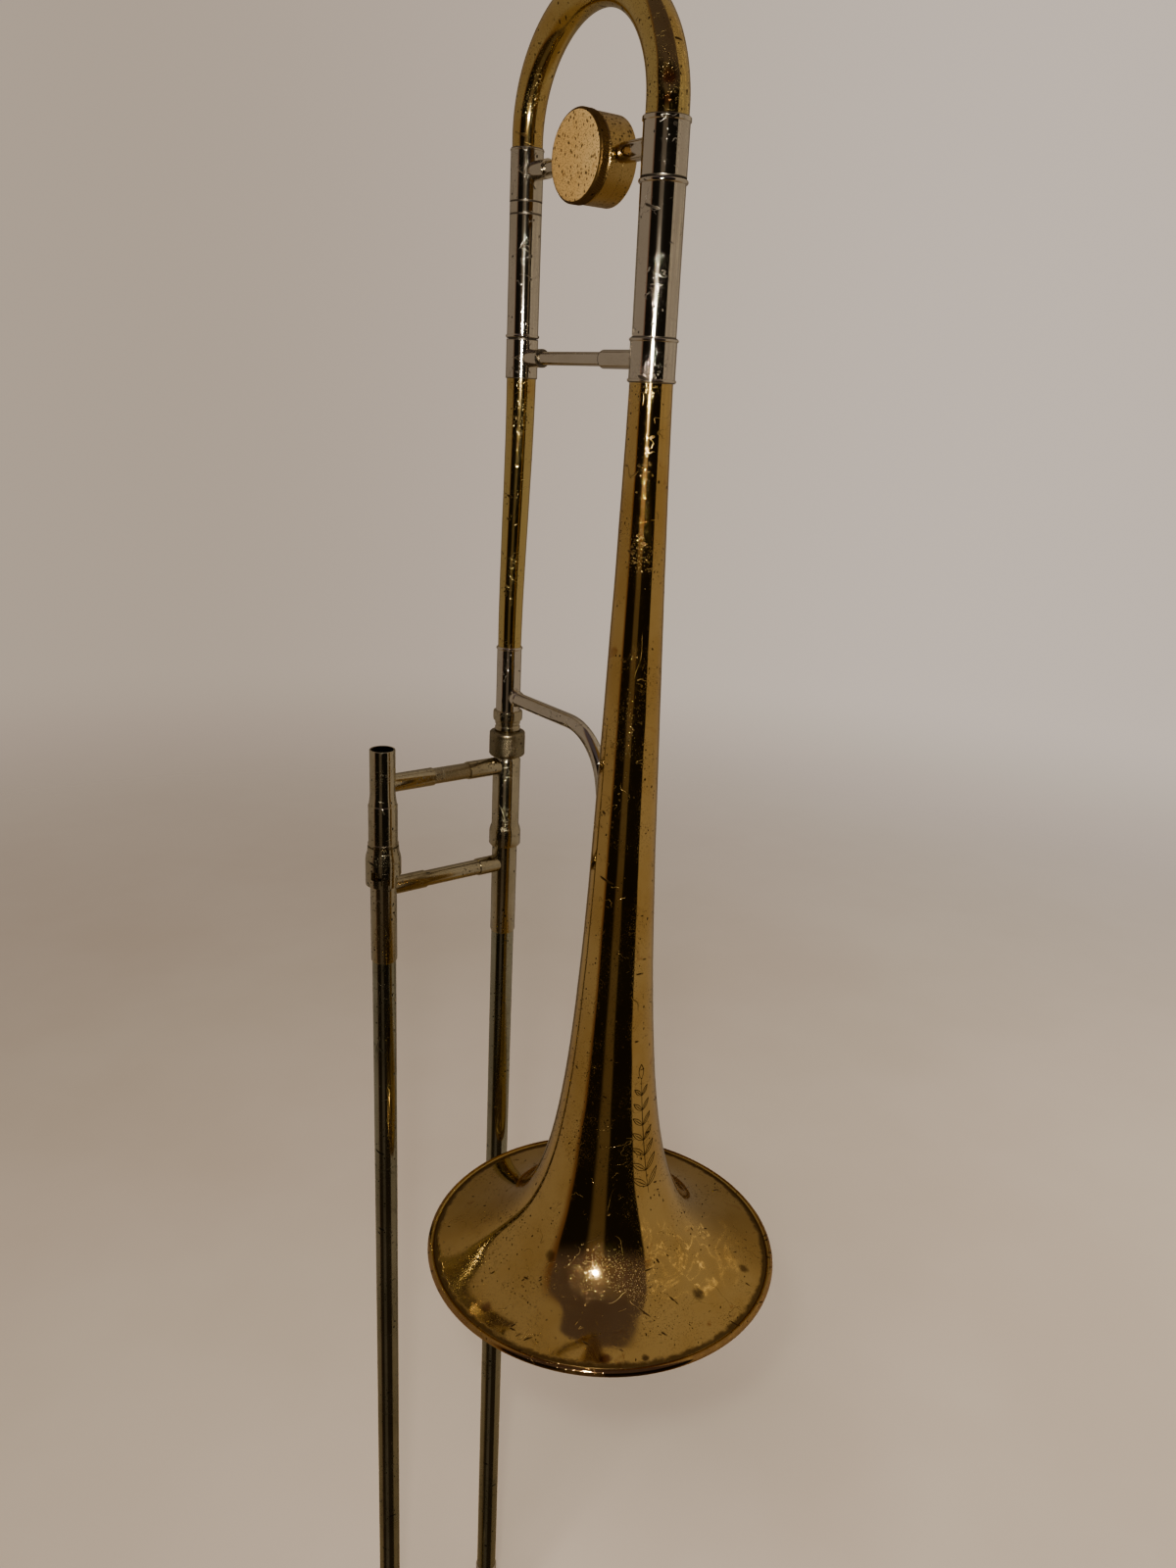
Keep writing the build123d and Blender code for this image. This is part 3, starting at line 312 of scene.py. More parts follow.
BELL_DENTS = [(radians(-75), RIM_Z + 150, 9, 0.25), (radians(-100), RIM_Z + 235, 7, 0.2),
              (radians(-140), RIM_Z + 90, 12, 0.3), (radians(-60), RIM_Z + 60, 14, 0.35),
              (radians(-88), RIM_Z + 12, 9, 0.40), (radians(-72), RIM_Z + 7, 6, 0.30),
              (radians(-60), RIM_Z + 22, 8, 0.35), (radians(-150), RIM_Z + 9, 8, 0.30),
              (radians(-120), RIM_Z + 330, 6, 0.2), (radians(40), RIM_Z + 120, 10, 0.3),
              (radians(120), RIM_Z + 200, 8, 0.25), (radians(165), RIM_Z + 14, 9, 0.35)]


def bell_skin_point(distance, angle, inset):
    """Point in metres on the bell's skin, with soft waves and dents."""
    radius = flare_radius(distance)
    step = 0.5
    slope = (flare_radius(distance + step) - flare_radius(max(0.0, distance - step))) / (
        2 * step if distance >= step else step + distance)
    length = hypot(1.0, slope)
    height = RIM_Z + distance
    wave_at = Vector((radius * cos(angle), radius * sin(angle), height)) / 26.0
    wave = noise.noise(wave_at) + 0.25 * noise.noise(wave_at * 3.1)
    inward = inset + 0.13 * (wave + 0.8) + dent_depth(angle, height, BELL_DENTS)
    radius -= inward / length
    height += inward * slope / length
    return (BELL_X + radius * MM * cos(angle), BELL_Y + radius * MM * sin(angle), height * MM)


def hairlines(shader, scale, stretch, width):
    """Thin wandering scratches: contour lines of a stretched noise, broken up by a second noise."""
    field = shader.noise(scale, 2.0, 0.5, shader.stretched(stretch))
    line = shader.ramp(shader.math("ABSOLUTE", shader.math("SUBTRACT", field, 0.5), 0.0), width, 0.0)
    return shader.math("MULTIPLY", line, shader.ramp(shader.noise(scale * 0.7, 2.0), 0.56, 0.64))


def nicks(shader, scale, turn, length, keep):
    """Short dark nicks: cells stretched along one slant, of which a noise keeps a few patches."""
    cell = shader.cells(scale, shader.slanted(turn, (1.0, 1.0 / length, 0.7)))
    patch = shader.ramp(shader.noise(scale * 0.25, 3.0, 0.6), keep, keep + 0.05)
    return shader.math("MULTIPLY", shader.ramp(cell, 0.14, 0.08), patch)


def away_from(shader, point, flat=False):
    """Distance of the surface from a point, or from the upright line through it."""
    offset = shader.node("ShaderNodeVectorMath", operation="SUBTRACT")
    offset.inputs[1].default_value = point
    shader.link(shader.place, offset.inputs[0])
    source = offset.outputs[0]
    if flat:
        level = shader.node("ShaderNodeVectorMath", operation="MULTIPLY")
        level.inputs[1].default_value = (1.0, 1.0, 0.0)
        shader.link(source, level.inputs[0])
        source = level.outputs[0]
    length = shader.node("ShaderNodeVectorMath", operation="LENGTH")
    shader.link(source, length.inputs[0])
    return length.outputs["Value"]


def stain(shader, tone, point, size, colour, strength):
    """Ragged patch of another colour round a point."""
    ragged = shader.math("MULTIPLY", shader.noise(260.0, 6.0, 0.75), size)
    edge = shader.math("ADD", away_from(shader, point), ragged)
    patch = shader.ramp(edge, size * 1.3, size * 0.75)
    return shader.blend(shader.math("MULTIPLY", patch, strength), tone, colour)


RIM_STAINS = [((-79, 8.0), 0.0060, (0.10, 0.06, 0.03), 0.75), ((-125, 1.6), 0.0055, (0.16, 0.05, 0.03), 0.8),
              ((-160, 24.0), 0.0050, (0.14, 0.08, 0.03), 0.7), ((-112, 1.4), 0.0035, (0.08, 0.04, 0.02), 0.8),
              ((-172, 3.0), 0.0050, (0.20, 0.07, 0.04), 0.7), ((-52, 3.5), 0.0050, (0.10, 0.05, 0.02), 0.7)]


def rim_wear(shader, tone, spots):
    """Bronze bead and a ragged dark line of dirt along it."""
    reach = away_from(shader, (BELL_X, BELL_Y, 0.0), flat=True)
    ragged = shader.math("MULTIPLY", shader.noise(160.0, 5.0, 0.7), 0.006)
    inner = shader.ramp(shader.math("ADD", reach, ragged), 0.0985, 0.1010)
    outer = shader.ramp(reach, 0.1004, 0.0994)
    grime = shader.math("MULTIPLY", inner, outer)
    bead = shader.math("MULTIPLY", shader.ramp(reach, 0.0998, 0.1006),
                       shader.ramp(shader.noise(60.0, 5.0, 0.7), 0.3, 0.6, 0.45, 0.95))
    tone = shader.blend(bead, tone, (0.50, 0.31, 0.15))
    return tone, shader.math("MAXIMUM", spots, shader.math("MULTIPLY", grime, 0.85))


NECK_FITTINGS = ("bow_ferrule_small", "tuning_outer_leg", "neck_tuning_leg", "neck_upper_ferrule")
BELL_FITTINGS = ("bow_ferrule_large", "bell_tuning_receiver", "bell_ferrule")
HIDDEN_FEET = ("neck_tuning_leg", "bell_tuning_receiver")
LINE_FADE = (0.60 * MM, 0.28 * MM)


def joint_places():
    """Joints that gather dirt: (axis, place, axis of the window, its middle, half its width)."""
    places = []
    for nodes, row in ((NECK_FITTINGS, LEG_Y), (BELL_FITTINGS, BELL_Y)):
        for node in nodes:
            low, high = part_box(node)
            heights = (high.z,) if node in HIDDEN_FEET else (low.z, high.z)
            places += [(2, height, 1, row, 18 * MM) for height in heights]
    neck_socket_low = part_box("bell_brace_neck_socket")[0]
    bell_socket_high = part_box("bell_brace_bell_socket")[1]
    rod_low, rod_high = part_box("bell_brace_rod")
    for end in (neck_socket_low.y, bell_socket_high.y):
        places.append((1, end, 2, (rod_low.z + rod_high.z) / 2, 7 * MM))
    return places


def joint_lines(shader):
    """Thin dark line of dirt at every joint of the nickel fittings."""
    axes = shader.node("ShaderNodeSeparateXYZ")
    shader.link(shader.place, axes.inputs[0])
    mask = 0.0
    for axis, place, side, middle, half in joint_places():
        off = shader.math("ABSOLUTE", shader.math("SUBTRACT", axes.outputs[axis], place), 0.0)
        beside = shader.math("ABSOLUTE", shader.math("SUBTRACT", axes.outputs[side], middle), 0.0)
        line = shader.math("MULTIPLY", shader.ramp(off, *LINE_FADE), shader.math("LESS_THAN", beside, half))
        mask = shader.math("MAXIMUM", mask, line)
    return mask


def dark_spots(shader, pit_amount, pit_size, clusters):
    """Clustered pits of two sizes and slanting nicks, as one mask."""
    pits = shader.cells(480.0, shader.stretched((1.0, 1.0, 0.7)))
    fine_pits = shader.cells(1300.0)
    cluster_mask = shader.ramp(clusters, 0.64 - 0.22 * pit_amount, 0.72 - 0.16 * pit_amount)
    big = shader.math("MULTIPLY", shader.ramp(pits, pit_size * 1.7, pit_size), cluster_mask)
    spread = shader.ramp(clusters, 0.52 - 0.20 * pit_amount, 0.66)
    small = shader.math("MULTIPLY", shader.ramp(fine_pits, pit_size * 2.4, pit_size * 1.2), spread)
    spots = shader.math("MAXIMUM", big, shader.math("MULTIPLY", small, 0.75))
    marks = shader.math("MAXIMUM", nicks(shader, 200.0, (0.3, 0.2, 0.5), 8.0, 0.47),
                        nicks(shader, 240.0, (0.1, -0.4, 1.5), 7.0, 0.48))
    marks = shader.math("MAXIMUM", marks, nicks(shader, 300.0, (0.5, 0.2, 2.4), 5.0, 0.50))
    return shader.math("MAXIMUM", spots, marks)


def metal_haze(shader, drift, masks, scratch_amount, clean_roughness):
    """Roughness: the clean metal's, raised by tarnish, pits, scratches and rubbed streaks."""
    cloud_mask, spots, scratches = masks
    haze = shader.ramp(drift, 0.30, 0.75, clean_roughness, clean_roughness * 1.7)
    haze = shader.math("ADD", haze, shader.math("MULTIPLY", cloud_mask, 0.14))
    haze = shader.math("ADD", haze, shader.math("MULTIPLY", spots, 0.40))
    haze = shader.math("ADD", haze, shader.math("MULTIPLY", scratches, 0.25 * scratch_amount))
    rubbed = shader.ramp(shader.noise(420.0, 2.0, 0.6, shader.stretched((1.0, 0.12, 0.5))), 0.60, 0.75)
    return shader.math("ADD", haze, shader.math("MULTIPLY", rubbed, 0.07 * scratch_amount))


def metal_normal(shader, scratches, spots, scratch_amount, grain):
    """Bump: soft waves, then scratches, then pits, then an optional fine slanting grain."""
    normal = shader.bump(shader.noise(34.0, 1.5, 0.4), 0.10, 0.0012)
    normal = shader.bump(shader.math("SUBTRACT", 1.0, scratches), 0.25 * scratch_amount, 0.00012, normal)
    normal = shader.bump(shader.math("SUBTRACT", 1.0, spots), 0.35, 0.0002, normal)
    if grain:
        normal = shader.bump(shader.diagonal_lines(grain), 0.5, 0.0002, normal)
    return normal


def aged_metal(name, tones, amounts, grain=None, rim=False, pit_size=0.13, stains=(), metallic=1.0,
               jointed=False):
    """Old polished metal: tone drift, tarnish clouds, clustered pits, hairline scratches and soft waves.

    tones holds the clean, worn, tarnish and pit colours; amounts holds tarnish, pits and scratches from
    0 to about 2 and the roughness of the clean metal.
    """
    clean, worn, tarnish, pit = tones
    tarnish_amount, pit_amount, scratch_amount, clean_roughness = amounts
    shader = Shader(name)
    drift = shader.noise(16.0, 5.0, 0.6)
    clouds = shader.noise(75.0, 7.0, 0.68, distortion=0.8)
    clusters = shader.noise(30.0, 4.0, 0.65)
    scratches = shader.math("MAXIMUM", hairlines(shader, 45.0, (1.0, 1.0, 0.35), 0.005),
                            hairlines(shader, 130.0, (0.3, 1.0, 1.0), 0.010))
    tone = shader.blend(shader.ramp(drift, 0.38, 0.66), clean, worn)
    cloud_mask = shader.ramp(clouds, 0.70 - 0.16 * tarnish_amount, 0.84 - 0.14 * tarnish_amount)
    tone = shader.blend(shader.math("MULTIPLY", cloud_mask, 0.8), tone, tarnish)
    spots = dark_spots(shader, pit_amount, pit_size, clusters)
    spots = shader.math("MAXIMUM", spots, shader.math("MULTIPLY", scratches, 0.45))
    if rim:
        tone, spots = rim_wear(shader, tone, spots)
    for point, size, colour, strength in stains:
        tone = stain(shader, tone, point, size, colour, strength)
    if jointed:
        spots = shader.math("MAXIMUM", spots, shader.math("MULTIPLY", joint_lines(shader), 0.85))
    tone = shader.blend(shader.math("MULTIPLY", spots, 0.9), tone, pit)
    haze = metal_haze(shader, drift, (cloud_mask, spots, scratches), scratch_amount, clean_roughness)
    normal = metal_normal(shader, scratches, spots, scratch_amount, grain)
    return shader.finish(tone, haze, normal, metallic)


def matt_material(name, light, dark, grain, roughness):
    """Cork or rubber: grainy two-tone surface."""
    shader = Shader(name)
    grains = shader.cells(grain)
    tone = shader.blend(shader.ramp(grains, 0.1, 0.6), dark, light)
    tone = shader.blend(shader.ramp(shader.noise(grain * 0.4), 0.55, 0.75), tone, dark)
    rough = shader.ramp(shader.noise(grain), 0.3, 0.7, roughness - 0.1, roughness + 0.05)
    return shader.finish(tone, rough, shader.bump(grains, 0.4, 0.0004), metallic=0.0)


BOW_DENT = Vector((NECK_X - 0.0060, BELL_Y - 0.0074, bow_low.z + 0.025))
BOW_STAINS = [(BOW_DENT, 0.0062, (0.36, 0.12, 0.04), 0.85), (BOW_DENT, 0.0022, (0.07, 0.03, 0.015), 0.9),
              (BOW_DENT + Vector((0.0, 0.0, -0.009)), 0.0045, (0.30, 0.10, 0.04), 0.8),
              (BOW_DENT + Vector((0.002, 0.006, 0.030)), 0.0055, (0.10, 0.06, 0.03), 0.7)]
BELL_STAINS = [(bell_skin_point(distance, radians(angle), 0.0), size, colour, strength)
               for (angle, distance), size, colour, strength in RIM_STAINS]
brass = aged_metal("aged_brass", ((0.72, 0.57, 0.26), (0.64, 0.45, 0.19), (0.40, 0.19, 0.08),
                                 (0.07, 0.035, 0.015)), (0.70, 0.85, 1.0, 0.08), stains=BOW_STAINS)
bell_brass = aged_metal("bell_brass", ((0.75, 0.54, 0.24), (0.67, 0.45, 0.18), (0.42, 0.19, 0.07),
                                       (0.07, 0.035, 0.015)), (0.60, 0.75, 1.0, 0.06), rim=True,
                        stains=BELL_STAINS)
knurl_brass = aged_metal("grimy_knurl", ((0.24, 0.15, 0.06), (0.17, 0.10, 0.04), (0.10, 0.05, 0.02),
                                         (0.03, 0.015, 0.01)), (0.8, 1.0, 0.5, 0.38))
face_brass = aged_metal("satin_weight_face", ((0.78, 0.56, 0.27), (0.68, 0.45, 0.19), (0.48, 0.28, 0.11),
                                              (0.07, 0.04, 0.015)), (0.9, 2.3, 1.0, 0.34),
                        pit_size=0.18, metallic=0.62)
engraved = aged_metal("engraved_line", ((0.16, 0.10, 0.04), (0.10, 0.06, 0.02), (0.08, 0.04, 0.02),
                                        (0.03, 0.02, 0.01)), (0.5, 0.5, 0.5, 0.45))
weight_brass = aged_metal("worn_weight_brass", ((0.62, 0.45, 0.21), (0.52, 0.35, 0.15), (0.32, 0.18, 0.07),
                                                (0.07, 0.04, 0.015)), (0.8, 1.7, 1.0, 0.20),
                          pit_size=0.17)
nickel = aged_metal("nickel_silver", ((0.74, 0.68, 0.58), (0.66, 0.60, 0.49), (0.38, 0.31, 0.21),
                                      (0.08, 0.06, 0.04)), (0.35, 0.40, 1.0, 0.07), jointed=True)
SLIDE_TONES = ((0.48, 0.46, 0.35), (0.38, 0.36, 0.26), (0.14, 0.13, 0.09), (0.03, 0.03, 0.02))
slide_nickel = aged_metal("dull_slide_nickel", SLIDE_TONES, (0.7, 0.8, 0.9, 0.10))
GRIP_TONES = ((0.62, 0.56, 0.42), (0.50, 0.43, 0.29), (0.20, 0.15, 0.08), (0.04, 0.03, 0.02))
grip_nickel = aged_metal("hand_worn_nickel", GRIP_TONES, (0.75, 0.9, 1.0, 0.09))
nut_nickel = aged_metal("grimy_nut", ((0.40, 0.35, 0.24), (0.30, 0.25, 0.16), (0.15, 0.11, 0.06),
                                      (0.03, 0.02, 0.015)), (0.8, 1.0, 0.8, 0.22))
lined_nickel = aged_metal("lined_nickel", GRIP_TONES, (0.75, 0.8, 1.0, 0.12), grain=420.0)
chrome = aged_metal("chromed_tube", ((0.78, 0.78, 0.76), (0.70, 0.70, 0.68), (0.5, 0.48, 0.42),
                                     (0.1, 0.1, 0.1)), (0.1, 0.1, 0.5, 0.05))
steel = aged_metal("plain_steel", ((0.45, 0.45, 0.44), (0.35, 0.34, 0.33), (0.2, 0.15, 0.1),
                                   (0.05, 0.04, 0.03)), (0.4, 0.5, 0.8, 0.22))
rubber = matt_material("black_rubber", (0.03, 0.03, 0.03), (0.012, 0.012, 0.012), 900.0, 0.8)
cork = matt_material("cork", (0.42, 0.27, 0.14), (0.16, 0.09, 0.045), 1400.0, 0.85)

SLOT_MATERIALS = {"lacquered_brass": brass, "worn_weight_brass": weight_brass, "nickel_silver": nickel,
                  "nickel_slide_tube": slide_nickel, "chromed_inner_tube": chrome, "steel": steel,
                  "rubber": rubber, "cork": cork}
GRIP_NODES = ("mouthpiece_receiver", "cork_barrel_mouth_side", "cork_barrel_bell_side", "slide_lock_ring",
              "inner_brace_mouth_socket", "inner_brace_bell_socket", "inner_brace_rod", "lock_nut",
              "outer_brace_mouth_socket", "outer_brace_bell_socket", "outer_brace_rod", "neck_lock_collar",
              "outer_sleeve_mouth_side", "outer_sleeve_bell_side", "slide_lock_lug")


SCULPTED = ("bell_flare", "bell_tail", "tuning_bow", "gooseneck", "outer_tube_mouth_side",
            "outer_tube_bell_side", "inner_tube_mouth_side", "inner_tube_bell_side", "lock_nut",
            "counterweight_cap")
EDGE_ROUND = 0.15 * MM
CREASE = radians(32)


def node_material(node, slot):
    """The finish of a CAD node: its slot's, apart from the hand-worn grip parts."""
    if node == "inner_brace_rod":
        return lined_nickel
    return grip_nickel if node in GRIP_NODES else SLOT_MATERIALS[slot]


def refined_copy(node, body, material):
    """Copy of a CAD node with welded points, rounded edges and smooth shading."""
    mesh = frame["nodes"][node].data.copy()
    mesh.name = node + "_fine"
    custom = mesh.attributes.get("custom_normal")
    if custom:
        mesh.attributes.remove(custom)
    work = bmesh.new()
    work.from_mesh(mesh)
    bmesh.ops.remove_doubles(work, verts=work.verts, dist=1e-6)
    bmesh.ops.dissolve_limit(work, angle_limit=radians(0.4), verts=work.verts, edges=work.edges)
    work.to_mesh(mesh)
    work.free()
    mesh.polygons.foreach_set("use_smooth", [True] * len(mesh.polygons))
    mesh.set_sharp_from_angle(angle=CREASE)
    mesh.materials.clear()
    mesh.materials.append(material)
    made = bpy.data.objects.new(node + "_fine", mesh)
    bpy.context.scene.collection.objects.link(made)
    bevel = made.modifiers.new("rounded_edges", "BEVEL")
    bevel.width = EDGE_ROUND
    bevel.segments = 2
    bevel.limit_method = "ANGLE"
    bevel.angle_limit = CREASE
    bevel.harden_normals = True
    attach(made, body)
    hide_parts(node)


def dress_cad_nodes():
    """Material on every CAD node, and a refined copy of each one that isn't sculpted below."""
    slots = {part["node"]: part["material_slot"] for part in frame["record"]["subparts"]}
    for body, nodes in frame["record"]["behaviour"]["bodies"].items():
        for node in nodes:
            material = node_material(node, slots[node])
            node_mesh = frame["nodes"][node].data
            node_mesh.materials.clear()
            node_mesh.materials.append(material)
            if node not in SCULPTED:
                refined_copy(node, body, material)


# ---- bell ---------------------------------------------------------------------------------------
def make_bell():
    """Flared brass bell: outer skin, rolled rim bead, inner skin."""
    segments = 160
    length = BELL_TOP / MM - RIM_Z
    rows = 110
    distances = [length * (row / rows) ** 1.9 for row in range(rows + 1)]
    points = []
    for distance in reversed(distances):
        for step in range(segments):
            points.append(bell_skin_point(distance, 2 * pi * step / segments, 0.0))
    bead_centre = RIM_RADIUS - 0.4
    for turn in range(13):
        angle = radians(80 - 26 * turn)
        radius = bead_centre + BEAD_RADIUS * cos(angle)
        height = RIM_Z - 0.6 + BEAD_RADIUS * sin(angle)
        for step in range(segments):
            round_angle = 2 * pi * step / segments
            points.append((BELL_X + radius * MM * cos(round_angle), BELL_Y + radius * MM * sin(round_angle),
                           height * MM))
    for distance in distances[1:]:
        for step in range(segments):
            points.append(bell_skin_point(distance, 2 * pi * step / segments, BELL_WALL))
    total = 2 * rows + 1 + 13
    return piece("bell_skin", points, grid_faces(total, segments, True), "bell_section", bell_brass,
                 ["bell_flare", "bell_tail"])


def leaf(start, heading, length, width, steps=12):
    """Closed outline of a pointed leaf."""
    along = Vector((cos(heading), sin(heading)))
    side = Vector((-along.y, along.x))
    sides = []
    for hand in (1, -1):
        edge = []
        for step in range(steps + 1):
            part = step / steps
            edge.append(Vector(start) + along * length * part + side * hand * width * sin(pi * part))
        sides.append(edge)
    return sides[0] + sides[1][::-1]


SPRIG_ANGLE = radians(-84)
SPRIG_HEIGHT = 92.0
LINE_WIDTH = 0.5


def sprig_lines():
    """A plain leafy sprig: an upright stem, paired leaves with their veins, and a bud."""
    lines = [[Vector((0, -36 + 3 * step)) for step in range(24)]]
    for pair in range(7):
        start = (0, -32 + 9.0 * pair)
        length = 12.5 - 0.9 * pair
        for hand in (1, -1):
            heading = pi / 2 - hand * (0.95 - 0.03 * pair)
            lines.append(leaf(start, heading, length, 1.7 - 0.1 * pair))
            vein = Vector((cos(heading), sin(heading))) * length * 0.8
            lines.append([Vector(start) + vein * step / 4 for step in range(5)])
    lines.append(leaf((0, 32), pi / 2, 9.0, 1.8))
    return lines


def make_sprig():
    """The ornament as thin engraved-looking lines that follow the skin of the bell."""
    points = []
    faces = []
    for line in sprig_lines():
        for index, here in enumerate(line):
            ahead = (line[min(index + 1, len(line) - 1)] - line[max(index - 1, 0)]).normalized()
            swell = 0.35 + 0.65 * sin(pi * index / (len(line) - 1))
            side = Vector((-ahead.y, ahead.x)) * LINE_WIDTH / 2 * swell
            for edge in (here + side, here - side):
                height = SPRIG_HEIGHT + edge.y
                angle = SPRIG_ANGLE + edge.x / flare_radius(height)
                points.append(bell_skin_point(height, angle, -0.05))
            if index:
                last = len(points) - 4
                faces.append((last, last + 1, last + 3, last + 2))
    piece("bell_sprig", points, faces, "bell_section", engraved)


# ---- brass bow and gooseneck --------------------------------------------------------------------
def soft_wave(scale, depth):
    """Function of a point that gives a gentle waviness in metres."""
    return lambda point: depth * (noise.noise(point / scale) + 0.5)


def bow_wave(point):
    """Soft waves, and one small round dent on the bell-side leg of the bow."""
    away = (point - BOW_DENT).length
    return 0.00006 * (noise.noise(point / 0.022) + 0.5) + 0.0009 * exp(-(away / 0.0032) ** 2)


def make_bow():
    """Tapered tuning bow with straight ends inside its ferrules."""
    small, large = 7.95 * MM, 9.9 * MM
    radius = (LEG_Y - BELL_Y) / 2
    middle = (LEG_Y + BELL_Y) / 2
    top = bow_high.z - radius - (small + large) / 2
    centres = [(NECK_X, LEG_Y, bow_low.z)]
    radii = [small]
    steps = 72
    for step in range(steps + 1):
        angle = pi * step / steps
        centres.append((NECK_X, middle + radius * cos(angle), top + radius * sin(angle)))
        radii.append(small + (large - small) * step / steps)
    centres.append((NECK_X, BELL_Y, bow_low.z))
    radii.append(large)
    return swept_tube("tuning_bow_skin", centres, radii, 0.6 * MM, "tuning_slide", brass,
                      ["tuning_bow"], wave=bow_wave)


def make_gooseneck():
    """Tapered neck tube with its slight double bend."""
    low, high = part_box("gooseneck")
    bend_low = low.z + 10 * MM
    bend_high = high.z - 9 * MM
    steps = 60
    centres = [(NECK_X, NECK_Y, low.z)]
    radii = [6.8 * MM]
    for step in range(steps + 1):
        part = step / steps
        shift = part * part * (3 - 2 * part)
        centres.append((NECK_X, NECK_Y + (LEG_Y - NECK_Y) * shift, bend_low + (bend_high - bend_low) * part))
        radii.append((6.8 + 1.2 * part) * MM)
    centres.append((NECK_X, LEG_Y, high.z))
    radii.append(8.0 * MM)
    return swept_tube("gooseneck_skin", centres, radii, 0.6 * MM, "bell_section", brass,
                      ["gooseneck"], wave=soft_wave(0.02, 0.00006))


# ---- slide tubes --------------------------------------------------------------------------------
def make_slide_tubes():
    """Smooth round versions of the long outer and inner slide tubes."""
    for side in ("mouth", "bell"):
        for kind, body, material, slot, wall in (
                ("outer", "outer_slide", slide_nickel, "nickel_slide_tube", 0.35),
                ("inner", "inner_slide", chrome, "chromed_inner_tube", 0.35)):
            node = f"{kind}_tube_{side}_side"
            low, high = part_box(node)
            x = (low.x + high.x) / 2
            y = (low.y + high.y) / 2
            outer = (high.x - low.x) / 2 / MM
            bottom = low.z / MM
            top = high.z / MM
            if kind == "outer":
                outline = [(outer - wall, bottom), (outer, bottom), (outer, top), (outer - wall, top)]
            else:
                neck = bottom + 120
                outline = [(outer - 0.4, bottom), (outer, bottom), (outer, neck), (outer - 0.05, neck + 1),
                           (outer - 0.05, top), (outer - 0.4, top)]
            lathe(f"{node}_skin", outline, x, y, body, material, [node])


# ---- knurled pieces -----------------------------------------------------------------------------
def make_lock_nut():
    """Lock nut with a fine diamond knurl and plain chamfered edges."""
    low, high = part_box("lock_nut")
    x = (low.x + high.x) / 2
    y = (low.y + high.y) / 2
    outer = (high.x - low.x) / 2 / MM
    bottom = low.z / MM
    top = high.z / MM
    segments = 240
    band_rows = 44
    profile = [(6.8, bottom, 0), (outer - 1.3, bottom, 0), (outer - 0.5, bottom + 0.4, 0),
               (outer, bottom + 1.2, 0)]
    for row in range(band_rows + 1):
        profile.append((outer, bottom + 2.2 + (top - bottom - 5.4) * row / band_rows, 1))
    profile += [(outer - 0.1, top - 2.6, 0), (outer - 0.1, top - 1.2, 0), (outer - 0.6, top - 0.4, 0),
                (outer - 1.5, top, 0), (7.9, top, 0), (7.65, top - 0.3, 0), (7.65, bottom + 2.1, 0),
                (6.8, bottom + 2.1, 0)]
    points = []
    for radius, height, knurled in profile:
        for step in range(segments):
            angle = 2 * pi * step / segments
            cut = 0.0
            if knurled:
                first = abs(sin(40 * angle / 2 + height * 2.0))
                second = abs(sin(40 * angle / 2 - height * 2.0))
                cut = 0.30 * (1 - min(first, second)) ** 2
            reach = (radius - cut) * MM
            points.append((x + reach * cos(angle), y + reach * sin(angle), height * MM))
    return piece("lock_nut_knurled", points, grid_faces(len(profile), segments, True), "bell_lock_nut",
                 nut_nickel, ["lock_nut"], 60.0)


def make_weight_cap():
    """Slightly domed brass cap with a slanting knurl round its edge."""
    low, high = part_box("counterweight_cap")
    centre_y = (low.y + high.y) / 2
    centre_z = (low.z + high.z) / 2
    outer = (high.y - low.y) / 2 / MM
    segments = 480
    thick = (high.x - low.x) / MM
    profile = [(0.01, 0.0), (outer - 1.0, 0.0), (outer - 0.3, 0.1), (outer, 0.4)]
    knurl_rows = 12
    profile += [(outer, 0.5 + (thick - 2.0) * row / knurl_rows) for row in range(1, knurl_rows)]
    profile += [(outer, thick - 1.4), (outer - 0.4, thick - 0.9), (outer - 1.2, thick - 0.45),
                (outer - 3.0, thick - 0.2), (outer - 8.0, thick - 0.08), (0.01, thick)]
    points = []
    for radius, reach in profile:
        knurled = radius == outer and 0.5 <= reach < thick - 1.4
        for step in range(segments):
            angle = 2 * pi * step / segments
            cut = 0.0
            if knurled:
                cut = 0.42 * (1 - abs(sin(55 * angle + reach * 1.1)))
            here = (radius - cut) * MM
            points.append((high.x - reach * MM, centre_y + here * cos(angle), centre_z + here * sin(angle)))
    cap = piece("weight_cap_knurled", points, grid_faces(len(profile), segments, False), "weight_cap",
                weight_brass, ["counterweight_cap"], 50.0)
    cap.data.materials.append(knurl_brass)
    cap.data.materials.append(face_brass)
    for face in cap.data.polygons:
        row = face.index // segments
        face.material_index = 1 if 2 <= row <= 4 + knurl_rows else 2 if row > 4 + knurl_rows else 0


# ---- stage --------------------------------------------------------------------------------------
CAMERA_PLACE = Vector((-0.32875, -0.57746, 0.96173))
CAMERA_YAW = radians(36.85)
CAMERA_PITCH = radians(18.35)
CAMERA_ROLL = radians(-2.78)
CAMERA_LENS = 27.1
DARK_SIDE = (-sin(CAMERA_YAW), -cos(CAMERA_YAW), 0.0)
STAGE_RADIUS = 9.0
# painted shade: the backdrop's darker and lighter glow, from one side to the other
BACKDROP_SHADED_AND_LIT_TONES = ((0.43, 0.355, 0.29), (0.60, 0.52, 0.45))


def hide_from_light(made):
    """Leave a stage piece to the camera alone, so it neither lights nor mirrors in the metal."""
    made.visible_glossy = False
    made.visible_diffuse = False
    made.visible_shadow = False


